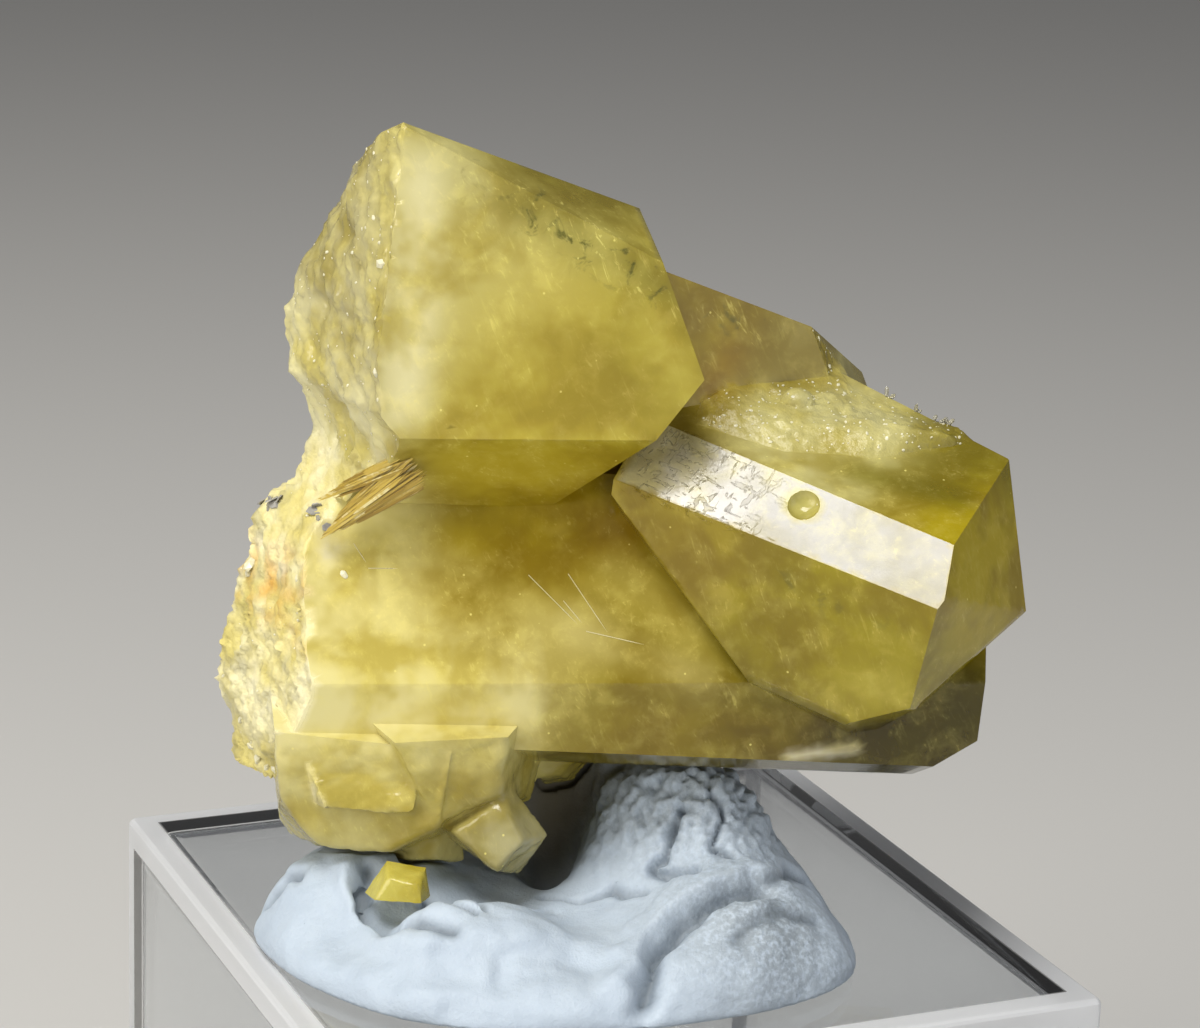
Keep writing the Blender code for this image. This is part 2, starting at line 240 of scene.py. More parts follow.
class Weave:
    """Adds the few kinds of steps that the finishes are made of to one material's tree."""

    def __init__(self, name: str) -> None:
        """Start a material.

        Args:
            name: the material's name.
        """
        self.material, self.tree = new_material(name)
        self.place = add_node(self.tree, "ShaderNodeTexCoord").outputs["Object"]

    def carried(self, name: str, output: str = "Fac") -> bpy.types.NodeSocket:
        """Read a value or colour that the piece's points carry."""
        return add_node(self.tree, "ShaderNodeAttribute", attribute_name=name).outputs[output]

    def grain(self, size_mm: float, detail: float = 4.0, bent: float = 0.0) -> bpy.types.NodeSocket:
        """Add cloudy noise.

        Args:
            size_mm: the size of its largest grains.
            detail: how many finer sizes it has.
            bent: how strongly it is warped.

        Returns:
            Its value.
        """
        links = {"Vector": self.place, "Scale": 1.0 / (size_mm * MM), "Detail": detail}
        links |= {"Roughness": 0.6, "Distortion": bent}
        return add_node(self.tree, "ShaderNodeTexNoise", links).outputs["Fac"]

    def fibres(self, turn: Point, width_mm: float, stretch: float = 7.0) -> bpy.types.NodeSocket:
        """Add noise that is drawn out along one direction.

        Args:
            turn: how the direction is turned, in degrees.
            width_mm: the fibres' width.
            stretch: their length in widths.

        Returns:
            Its value.
        """
        rotation = [math.radians(angle) for angle in turn]
        links = {"Vector": self.place, "Rotation": rotation, "Scale": (stretch, 1.0, 1.0)}
        laid = add_node(self.tree, "ShaderNodeMapping", links, vector_type="TEXTURE").outputs["Vector"]
        links = {"Vector": laid, "Scale": 1.0 / (width_mm * MM), "Detail": 4.0}
        links |= {"Roughness": 0.6, "Distortion": 0.4}
        return add_node(self.tree, "ShaderNodeTexNoise", links).outputs["Fac"]

    def step(self, value: bpy.types.NodeSocket, low: float, high: float) -> bpy.types.NodeSocket:
        """Add a soft step.

        Args:
            value: what is stepped.
            low: the value that gives 0.
            high: the value that gives 1.

        Returns:
            The stepped value.
        """
        links = {"Value": value, "From Min": low, "From Max": high}
        ramp = add_node(self.tree, "ShaderNodeMapRange", links, interpolation_type="SMOOTHSTEP")
        return ramp.outputs["Result"]

    def maths(self, kind: str, *terms: float | bpy.types.NodeSocket) -> bpy.types.NodeSocket:
        """Add an operation on two or three terms.

        Args:
            kind: the operation.
            terms: its terms.

        Returns:
            Its result, kept from 0 to 1.
        """
        links = dict(enumerate(terms))
        return add_node(self.tree, "ShaderNodeMath", links, operation=kind, use_clamp=True).outputs[0]

    def mix(
        self,
        share: float | bpy.types.NodeSocket,
        first: bpy.types.NodeSocket | Colour,
        second: bpy.types.NodeSocket | Colour,
        kind: str = "MIX",
    ) -> bpy.types.NodeSocket:
        """Add a mix of two colours.

        Args:
            share: how much of the second there is.
            first: the first colour.
            second: the second colour.
            kind: how they are mixed.

        Returns:
            The mixed colour.
        """
        links = {0: share, 6: first, 7: second}
        return add_node(self.tree, "ShaderNodeMix", links, data_type="RGBA", blend_type=kind).outputs[2]

    def finish(self, surface: dict, depth: dict | None = None) -> bpy.types.Material:
        """Add the surface, the depth and the output.

        Args:
            surface: the Principled surface's inputs.
            depth: the absorption's inputs, for a piece that is clear inside.

        Returns:
            The finished material.
        """
        shader = add_node(self.tree, "ShaderNodeBsdfPrincipled", surface)
        links = {"Surface": shader.outputs["BSDF"]}
        if depth:
            links["Volume"] = add_node(self.tree, "ShaderNodeVolumeAbsorption", depth).outputs["Volume"]
        add_node(self.tree, "ShaderNodeOutputMaterial", links)
        return self.material


# Natural glassy faces over clouded crystal: the eye looks a little way in, sees olive deepen with
# depth, milky veils and threads float below the surface, and mirror light only on flat clean faces.
@dataclass(frozen=True)
class BrazilianiteFinish:
    """Brazilianite, a glassy phosphate as it grew: see-through olive with milky clouds and veils.

    The points of a piece carry its tint, how milky it is, how etched its surface is (grit), how much
    of it is scratched (scratch) and how many dark inclusions with bright threads it holds (speck).
    """

    index: float = 1.61
    shine: float = 0.26
    clearest: float = 0.6
    milkiest: float = 0.08
    cloud_mm: float = 4.4
    haze_mm: float = 1.5
    dot_mm: float = 0.8
    etch_mm: float = 0.2
    speck_mm: float = 1.2
    # Threads of bubbles and scores on a face, each as its turn in degrees, its width in millimetres
    # and its length in widths. The real ones are finer, and these are as coarse as they need to show.
    threads: tuple[tuple[Point, float, float], ...] = (
        ((20.0, 50.0, 10.0), 0.2, 9.0),
        ((-30.0, 68.0, -25.0), 0.26, 7.0),
    )
    scores: tuple[tuple[Point, float, float], ...] = (
        ((0.0, 25.0, -40.0), 0.3, 6.0),
        ((0.0, -30.0, 25.0), 0.34, 6.0),
    )
    depth_colour: str = "#F5ED38"
    depth_per_metre: float = 500.0
    veil_colour: str = "#DACF78"
    shade_colour: str = "#DACF80"
    speck_colour: str = "#55551E"

    def material(self, name: str = "Brazilianite, natural faces") -> bpy.types.Material:
        """Make the material.

        Args:
            name: the material's name.

        Returns:
            The new material.
        """
        weave = Weave(name)
        milk, grit = weave.carried("milk"), weave.carried("grit")
        scratch, speck = weave.carried("scratch"), weave.carried("speck")
        cloudy = weave.step(weave.grain(self.cloud_mm, 3.0, 0.2), 0.36, 0.64)
        haze = weave.step(weave.grain(self.haze_mm, 6.0, 0.3), 0.42, 0.72)
        etch = weave.grain(self.etch_mm, 3.0)

        # Threads of tiny bubbles run through the crystal two ways, with a few single bubbles.
        fibres = weave.maths("MAXIMUM", *(weave.fibres(*thread) for thread in self.threads))
        fibres = weave.step(fibres, 0.58, 0.70)
        threads = weave.maths("MULTIPLY", fibres, weave.maths("MULTIPLY_ADD", haze, 0.8, 0.2))
        links = {"Vector": weave.place, "Scale": 1.0 / (self.dot_mm * MM)}
        cells = add_node(weave.tree, "ShaderNodeTexVoronoi", links).outputs
        kind = add_node(weave.tree, "ShaderNodeSeparateColor", {"Color": cells["Color"]}).outputs["Red"]
        bubble = weave.step(cells["Distance"], 0.1, 0.04)
        dots = weave.maths("MULTIPLY", weave.step(kind, 0.84, 0.86), bubble)

        # The clouds shade the body colour a little. Haze, threads and bubbles are pale in it, and the
        # inclusions are dark blots with bright threads between them.
        clear = weave.maths("MULTIPLY_ADD", cloudy, -0.8, 0.8)
        body = weave.mix(clear, weave.carried("tint", "Color"), linear(self.shade_colour), "MULTIPLY")
        blots = weave.step(weave.grain(self.speck_mm, 5.0, 0.8), 0.56, 0.68)
        body = weave.mix(weave.maths("MULTIPLY", blots, speck), body, linear(self.speck_colour))
        pale = weave.maths("MULTIPLY", haze, weave.maths("MULTIPLY_ADD", milk, 0.26, 0.02))
        pale = weave.maths("MULTIPLY_ADD", threads, weave.maths("MULTIPLY_ADD", speck, 0.6, 0.22), pale)
        pale = weave.maths("MULTIPLY_ADD", dots, 0.6, pale)
        body = weave.mix(pale, body, linear(self.veil_colour))
        solid = weave.maths("ADD", weave.maths("MULTIPLY_ADD", cloudy, 0.14, milk), pale)
        links = {"Value": solid, "To Min": self.clearest, "To Max": self.milkiest}
        through = add_node(weave.tree, "ShaderNodeMapRange", links).outputs["Result"]

        # Deep scratches turn a bright face away from the light in stripes.
        scored = weave.maths("MAXIMUM", *(weave.fibres(*score) for score in self.scores))
        dull = weave.maths("MULTIPLY", weave.step(scored, 0.585, 0.625), scratch)
        rough = weave.maths("MULTIPLY_ADD", etch, 0.07, weave.maths("MULTIPLY_ADD", grit, 0.4, 0.05))
        rough = weave.maths("MULTIPLY_ADD", dull, 0.6, rough)
        relief = weave.maths("MULTIPLY_ADD", grit, 0.8, 0.06)
        links = {"Strength": relief, "Distance": 0.0001, "Height": etch}
        bump = add_node(weave.tree, "ShaderNodeBump", links).outputs["Normal"]
        links = {"Strength": 0.8, "Distance": 0.00012, "Height": dull, "Normal": bump}
        bump = add_node(weave.tree, "ShaderNodeBump", links).outputs["Normal"]
        surface = {
            "Base Color": body,
            "Roughness": rough,
            "IOR": self.index,
            "Specular IOR Level": self.shine,
            "Transmission Weight": through,
            "Normal": bump,
        }
        return weave.finish(surface, {"Color": linear(self.depth_colour), "Density": self.depth_per_metre})


@dataclass(frozen=True)
class GrainFinish:
    """A small mineral grain, needle or plate: one colour with a little mottling."""

    name: str
    colour: str
    other: str
    roughness: float = 0.35
    through: float = 0.0
    index: float = 1.55
    metallic: float = 0.0
    mottle_mm: float = 0.5

    def material(self) -> bpy.types.Material:
        """Make the material."""
        weave = Weave(self.name)
        mottle = weave.grain(self.mottle_mm)
        surface = {
            "Base Color": weave.mix(mottle, linear(self.colour), linear(self.other)),
            "Roughness": weave.maths("MULTIPLY_ADD", mottle, 0.2, self.roughness - 0.1),
            "IOR": self.index,
            "Metallic": self.metallic,
            "Transmission Weight": self.through,
        }
        return weave.finish(surface)


# Natural grains on the crystals: frosty white where etched, so that they glint from a step away.
PALE_GRAINS = GrainFinish("Etched pale grains", "#F0EDD8", "#DAD4A8", 0.3, 0.25)
# Thin cleaved mica: smooth and silky grey, so that it flashes dark or light as it leans.
GREY_MICA = GrainFinish("Grey mica, cleaved", "#A8A6A0", "#6F6C68", 0.25)
# Fibres that grew in the crystal: a fine silky line, drawn a little coarser than real so it shows.
NEEDLES = GrainFinish("Included needles", "#DAD3A6", "#C6BC80", 0.3, 0.3)
# Tiny late crystals: glassy and nearly colourless, so that they sparkle on the crest.
TINY_CRYSTALS = GrainFinish("Tiny clear crystals", "#F4F2E8", "#E4E0C8", 0.14, 0.8)


# Mica torn into splinters: silky lines of gold that change from splinter to splinter.
@dataclass(frozen=True)
class MicaFinish:
    """Golden mica, split into splinters: pearly, each splinter its own shade, lined along its length."""

    dark: str = "#9C7E22"
    colour: str = "#C9AE48"
    pale: str = "#E2D598"
    line_mm: float = 0.14

    def material(self) -> bpy.types.Material:
        """Make the material."""
        weave = Weave("Golden mica, splintered")
        shade = weave.carried("grain")
        mottle = weave.grain(self.line_mm * 3, 5.0)
        body = weave.mix(weave.step(shade, 0.1, 0.75), linear(self.dark), linear(self.colour))
        light = weave.maths("MULTIPLY", weave.step(shade, 0.72, 0.95), weave.step(mottle, 0.4, 0.6))
        surface = {
            "Base Color": weave.mix(light, body, linear(self.pale)),
            "Roughness": weave.maths("MULTIPLY_ADD", mottle, 0.2, 0.26),
            "IOR": 1.58,
            "Transmission Weight": 0.2,
        }
        return weave.finish(surface)


# Putty worked by fingers: soft and matt, smeared into fine lines, dull and dusty where it tore.
@dataclass(frozen=True)
class PuttyFinish:
    """Mineral tack: kneaded blue-grey putty, matt, dusty where torn, with painted shade in folds and
    tears.

    The points of a piece carry how deep in a fold or tear they are (fold), which sets painted shade, how
    fuzzy and dirty they are (dust) and how much painted shade lies in the hollow below the crystals
    (hollow), tinted olive as painted light that comes through them.
    """

    pale: str = "#B3BFCC"
    colour: str = "#9CA9B9"
    # Painted shade for the folds and tears. It is also the colour of the random dirt specks.
    shade: str = "#5F6870"
    dust: str = "#7E868C"
    # Painted shade in the hollow under the crystals, tinted olive as painted light through them.
    hollow: str = "#463B18"
    grain_mm: float = 0.3
    blotch_mm: float = 3.0
    line_mm: float = 0.12

    def material(self) -> bpy.types.Material:
        """Make the material."""
        weave = Weave("Kneaded mineral putty")
        fold, dusty = weave.carried("fold"), weave.carried("dust")
        grain = weave.grain(self.grain_mm, 6.0)
        lines = weave.fibres((0.0, 0.0, 62.0), self.line_mm, 14.0)
        body = weave.mix(weave.grain(self.blotch_mm), linear(self.pale), linear(self.colour))
        smeared = weave.maths("MULTIPLY", weave.step(lines, 0.5, 0.8), 0.35)
        body = weave.mix(smeared, body, linear(self.colour))
        fuzz = weave.maths("MULTIPLY", dusty, weave.step(grain, 0.3, 0.6))
        body = weave.mix(fuzz, body, linear(self.dust))
        dirt = weave.maths("MULTIPLY", weave.step(grain, 0.68, 0.76), 0.5)
        # Painted shade: folds and tears darken towards the shade colour, and so do the random dirt specks.
        body = weave.mix(weave.maths("MAXIMUM", fold, dirt), body, linear(self.shade))
        # Painted shade and painted light: the hollow under the crystals darkens to olive, as if lit only
        # through them.
        body = weave.mix(weave.carried("hollow"), body, linear(self.hollow))
        height = weave.maths("MULTIPLY_ADD", lines, 0.4, grain)
        links = {"Strength": 0.5, "Distance": 0.00012, "Height": height}
        bump = add_node(weave.tree, "ShaderNodeBump", links)
        surface = {
            "Base Color": body,
            "Roughness": weave.maths("MULTIPLY_ADD", grain, 0.3, 0.42),
            "IOR": 1.46,
            "Subsurface Weight": 0.15,
            "Subsurface Radius": (0.8, 0.9, 1.0),
            "Subsurface Scale": 0.0005,
            "Normal": bump.outputs["Normal"],
        }
        return weave.finish(surface)


# Moulded clear plastic: nearly unseen on its flats, and a pale frosted line wherever two walls meet.
@dataclass(frozen=True)
class ClearBoxFinish:
    """Clear polystyrene, injection moulded: glass-like and faintly scuffed, frosted where walls meet."""

    index: float = 1.59
    scuff_mm: float = 0.5
    body_colour: str = "#F4F6F8"
    frost_colour: str = "#E2E4E8"
    depth_colour: str = "#D5DCE2"
    depth_per_metre: float = 18.0
    middle: Point = (-0.2, 0.0, 0.0)
    half_side: float = 20.0
    height: float = 25.0
    wall: float = 1.6

    def material(self) -> bpy.types.Material:
        """Make the material."""
        weave = Weave("Clear moulded polystyrene")
        scuff = weave.step(weave.fibres((0.0, 0.0, 28.0), self.scuff_mm, 12.0), 0.55, 0.8)
        links = {0: weave.place, 1: [v * MM for v in self.middle]}
        centred = add_node(weave.tree, "ShaderNodeVectorMath", links, operation="SUBTRACT").outputs[0]
        parts = add_node(weave.tree, "ShaderNodeSeparateXYZ", {0: centred}).outputs
        near = []
        for part, reach in zip(parts, (self.half_side, self.half_side, self.height)):
            size = add_node(weave.tree, "ShaderNodeMath", {0: part}, operation="ABSOLUTE").outputs[0]
            start = reach - self.wall
            near.append(weave.step(size, (start + 0.05) * MM, (start + 0.3) * MM))
        wide, deep, high = near
        pairs = [weave.maths("MULTIPLY", a, b) for a, b in ((wide, deep), (deep, high), (wide, high))]
        frost = weave.maths("MAXIMUM", weave.maths("MAXIMUM", pairs[0], pairs[1]), pairs[2])
        scuff = weave.maths("MULTIPLY_ADD", weave.maths("MULTIPLY", scuff, frost), -1.0, scuff)
        rough = weave.maths("MULTIPLY_ADD", scuff, 0.1, 0.02)
        surface = {
            "Base Color": weave.mix(frost, linear(self.body_colour), linear(self.frost_colour)),
            "Roughness": weave.maths("MULTIPLY_ADD", frost, 0.4, rough),
            "IOR": self.index,
            "Transmission Weight": weave.maths("MULTIPLY_ADD", frost, -0.6, 1.0),
        }
        return weave.finish(surface, {"Color": linear(self.depth_colour), "Density": self.depth_per_metre})


class Zone(Enum):
    """What kind of surface a face of the cluster is."""

    GLASSY = 0
    ETCHED = 1
    BROKEN = 2
    CRUST = 3
    STRIP = 4
    SMALL = 5


@dataclass(frozen=True)
class Tint:
    """The body colour around one place in the cluster, in specimen millimetres."""

    place: Point
    spread: float
    colour: str
    milk: float


# The body colour, crystal by crystal: the tower, the left root, the beam, the prow, the blade behind
# and the small crystals below.
TINTS = (
    Tint((-7.0, -8.0, 36.0), 4.0, "#C2B768", 0.6),
    Tint((-3.5, -8.5, 33.0), 3.5, "#B6A63C", 0.5),
    Tint((1.8, -7.8, 33.0), 2.6, "#B0A234", 0.42),
    Tint((-4.0, -8.5, 29.0), 3.5, "#B8A82E", 0.48),
    Tint((-4.3, -7.0, 26.1), 2.6, "#CAB432", 0.42),
    Tint((-3.0, -5.0, 41.0), 2.6, "#948820", 0.25),
    Tint((-12.8, -5.0, 34.5), 4.0, "#AEA77E", 0.7),
    Tint((-14.5, -3.0, 28.0), 3.5, "#D6D0A2", 0.75),
    Tint((-17.5, -3.0, 16.0), 4.0, "#E0DAAE", 0.85),
    Tint((-10.0, -8.5, 14.0), 4.0, "#C6BB72", 0.72),
    Tint((-12.0, -6.0, 19.5), 3.0, "#CCC078", 0.65),
    Tint((-5.5, -5.6, 20.0), 3.0, "#A6901A", 0.4),
    Tint((-3.5, -7.4, 16.5), 2.6, "#A3954C", 0.6),
    Tint((2.7, -7.9, 13.3), 3.2, "#8B7B20", 0.52),
    Tint((8.1, -7.9, 14.0), 3.2, "#6D5F10", 0.5),
    Tint((17.5, -7.0, 13.0), 3.2, "#4E4606", 0.5),
    Tint((3.8, -7.4, 22.6), 2.6, "#9A8720", 0.45),
    Tint((9.9, -10.0, 18.9), 3.4, "#988A12", 0.5),
    Tint((14.0, -12.0, 17.0), 2.6, "#988C1A", 0.45),
    Tint((18.7, -8.0, 21.5), 3.2, "#AA9808", 0.45),
    Tint((17.0, -3.5, 26.0), 2.4, "#928712", 0.25),
    Tint((11.5, -3.5, 28.0), 3.4, "#B2AA6E", 0.75),
    Tint((6.1, -0.9, 31.0), 3.0, "#988416", 0.5),
    Tint((9.6, 0.6, 31.0), 1.6, "#928438", 0.55),
    Tint((-12.6, -8.7, 7.6), 3.0, "#C6BC7A", 0.45),
    Tint((-6.5, -9.3, 10.0), 2.0, "#AC9A34", 0.4),
    Tint((-4.7, -9.2, 7.4), 1.6, "#B4AE82", 0.35),
)


@dataclass(frozen=True)
class Mark:
    """A streak or patch of another colour in the crystal, from one place to another."""

    name: str
    start: Point
    end: Point
    width: float
    colour: str
    share: float
    milk: float = 0.0
    right_end: float = 99.0
    speck: float = 0.0

    def strength(self, points: np.ndarray) -> np.ndarray:
        """Give the mark's share of the colour at many points.

        Args:
            points: (n, 3) places in specimen millimetres.

        Returns:
            (n,) shares, with the soft end at the right where the mark has one.
        """
        start, line = np.array(self.start), np.array(self.end) - np.array(self.start)
        along = np.clip(((points - start) @ line) / max(1e-9, line @ line), 0.0, 1.0)
        away = np.linalg.norm(points - start - along[:, None] * line, axis=1)
        kept = np.clip((self.right_end - points[:, 0]) / 0.7, 0.0, 1.0)
        return self.share * np.exp(-((away / self.width) ** 2)) * kept


MARKS = (
    Mark(
        "pale block under the beam's left",
        (-15.5, -8.2, 13.3),
        (-4.0, -8.2, 13.6),
        3.0, "#D0C78C", 0.85, 0.3, -2.5,
    ),
    Mark("veil across the beam, left", (-8.2, -5.5, 20.6), (-1.4, -6.9, 17.6), 1.0, "#BDB166", 0.35, 0.2),
    Mark("veil across the beam, right", (-1.4, -6.9, 17.6), (5.1, -7.9, 15.5), 1.1, "#B0A466", 0.5, 0.3),
    Mark("clear window beside the veil", (0.6, -5.3, 20.6), (4.5, -6.8, 17.6), 1.2, "#A39548", 0.6, 0.2),
    Mark(
        "painted shade in the recess under the tower",
        (-0.6, -4.5, 22.3),
        (1.2, -4.6, 22.4),
        1.5, "#8E700E", 0.9, -0.2,
    ),
    # Painted shade: a dark brown patch where shade falls in the recess under the tower.
    Mark(
        "olive shade under the tower",
        (-7.5, -4.8, 21.8),
        (-2.0, -4.6, 22.0),
        1.2, "#B8A220", 0.7, -0.05,
    ),
    Mark("pale notch", (-13.6, -4.6, 22.6), (-10.6, -4.8, 22.4), 1.3, "#E0D68C", 0.7, 0.35),
    Mark("grey scale in the notch", (-14.4, -3.6, 22.8), (-13.8, -5.3, 20.9), 0.7, "#C4C0B2", 0.85, 0.4),
    Mark("rust on the broken side", (-16.2, -3.8, 20.2), (-16.6, -4.8, 17.0), 0.55, "#E9C27A", 0.8, 0.2),
    Mark(
        "white veil down the tower's left",
        (-9.2, -8.3, 41.0),
        (-9.8, -9.6, 29.5),
        1.3, "#DAD4A6", 0.75, 0.2,
    ),
    Mark(
        "tower's inclusion band",
        (-4.4, -8.2, 39.4),
        (3.0, -7.6, 35.4),
        1.2, "#8E8840", 0.6, 0.1, speck=1.0,
    ),
    Mark(
        "tower's cloudy corner",
        (-9.0, -7.6, 42.0),
        (-6.0, -8.2, 39.6),
        1.4, "#ACA672", 0.5, 0.1, speck=0.35,
    ),
    Mark("blade's inclusions", (5.4, -1.2, 32.8), (7.4, -0.6, 32.0), 0.9, "#9A8524", 0.4, 0.0, speck=0.8),
    Mark(
        "streaks under the bright strip",
        (9.0, -9.6, 21.4),
        (14.0, -11.4, 20.0),
        0.8, "#908616", 0.4, speck=0.5,
    ),
    Mark(
        "threads beside the end",
        (15.6, -9.0, 20.8),
        (15.0, -10.4, 18.2),
        0.6, "#BAB248", 0.5, 0.1, speck=0.4,
    ),
    Mark("round pit in the strip", (9.7, -8.1, 24.9), (9.7, -8.1, 24.9), 0.9, "#9C9656", 0.9, 0.3),
    Mark("tower's deep lower edge", (-8.0, -7.2, 25.6), (0.4, -7.0, 26.4), 1.6, "#BCA628", 0.55, -0.1),
    # Painted highlight: a brighter band along the tower's right edge.
    Mark("painted highlight on the tower's right edge", (2.2, -7.9, 34.0), (4.2, -7.6, 30.0), 0.8, "#C6B84A", 0.7, 0.0),
    Mark("beam's dark end", (13.0, -7.6, 12.6), (18.6, -7.2, 13.6), 2.2, "#4C4406", 0.85, 0.0),
    # Painted reflection: a pale streak on the underside of the beam.
    Mark("painted reflection under the beam", (9.8, -7.6, 11.4), (13.1, -7.5, 12.0), 0.3, "#DEDCD0", 0.8, 0.4),
    Mark("prow's bright foot", (10.5, -11.0, 15.6), (14.2, -12.2, 16.6), 1.1, "#AEA244", 0.6, 0.1),
    Mark(
        "olive beside the bright strip",
        (12.6, -6.6, 26.4),
        (17.4, -7.4, 25.2),
        1.1, "#867E10", 0.75, -0.2,
    ),
    Mark("crust's milky middle", (8.6, -2.8, 28.9), (14.4, -3.4, 27.9), 2.2, "#B8B27E", 0.7, 0.3),
    Mark("blade's golden foot", (5.2, -1.9, 29.4), (6.2, -1.2, 30.6), 1.0, "#987A05", 0.85, -0.1),
    Mark("blade's pale shoulder", (9.6, 0.6, 31.4), (10.8, 0.0, 30.0), 1.1, "#A2965A", 0.8, 0.25),
)


class PointCoat:
    """What the brazilianite finish reads at each point of a piece."""

    def __init__(self, tint: np.ndarray, milk: np.ndarray) -> None:
        """Start with clean, glassy points.

        Args:
            tint: (n, 4) body colours.
            milk: (n,) shares of milkiness.
        """
        self.tint = tint
        self.milk = milk
        self.grit = np.zeros(len(milk))
        self.scratch = np.zeros(len(milk))
        self.speck = np.zeros(len(milk))

    def blend(self, mark: Mark, points: np.ndarray) -> None:
        """Blend a mark in.

        Args:
            mark: the mark.
            points: (n, 3) places of the points in specimen millimetres.
        """
        share = mark.strength(points)
        self.tint += share[:, None] * (np.array(linear(mark.colour)) - self.tint)
        self.milk = np.clip(self.milk + mark.milk * share, 0.0, 1.0)
        self.speck = np.maximum(self.speck, mark.speck * share / mark.share)

    def stain(self, index: int, colour: str, share: float) -> None:
        """Stain one point.

        Args:
            index: the point's number.
            colour: the stain's colour.
            share: how strongly it is stained.
        """
        self.tint[index] += min(1.0, max(0.0, share)) * (np.array(linear(colour)) - self.tint[index])

    def store(self, mesh: bpy.types.Mesh) -> None:
        """Give a mesh what its points carry."""
        set_attribute(mesh, "tint", self.tint)
        set_attribute(mesh, "milk", np.clip(self.milk, 0.0, 1.0))
        set_attribute(mesh, "grit", self.grit)
        set_attribute(mesh, "scratch", self.scratch)
        set_attribute(mesh, "speck", self.speck)


@dataclass
class BrokenSide:
    """The rough left side where the cluster came off its rock, as it is cut in the solid."""

    outline: tuple[tuple[float, float], ...] = (
        (5.0, -18.6),
        (8.8, -19.2),
        (11.6, -20.0),
        (14.8, -19.5),
        (17.5, -19.1),
        (21.6, -17.8),
        (23.4, -16.0),
        (25.8, -15.2),
        (27.8, -15.5),
        (28.6, -16.5),
        (31.4, -16.6),
        (33.9, -16.1),
        (37.4, -14.2),
        (39.4, -13.4),
        (43.0, -12.1),
        (46.0, -12.0),
    )
    to_front: tuple[tuple[float, float], ...] = ((33.0, 0.58), (39.0, 0.12))
    to_back: float = 0.42
    rough: float = 0.55

    def x_at(self, y: float, z: float) -> float:
        """Give the side's x.

        Args:
            y: depth.
            z: height.

        Returns:
            The side's x there.
        """
        fall = along_line(self.to_front, z) * max(0.0, -y) + self.to_back * max(0.0, y)
        bumps = noise.noise(Vector((3.1, y * 0.45, z * 0.45))) + 0.6 * noise.noise(Vector((7.7, y, z)))
        return along_line(self.outline, z) + fall + self.rough * bumps


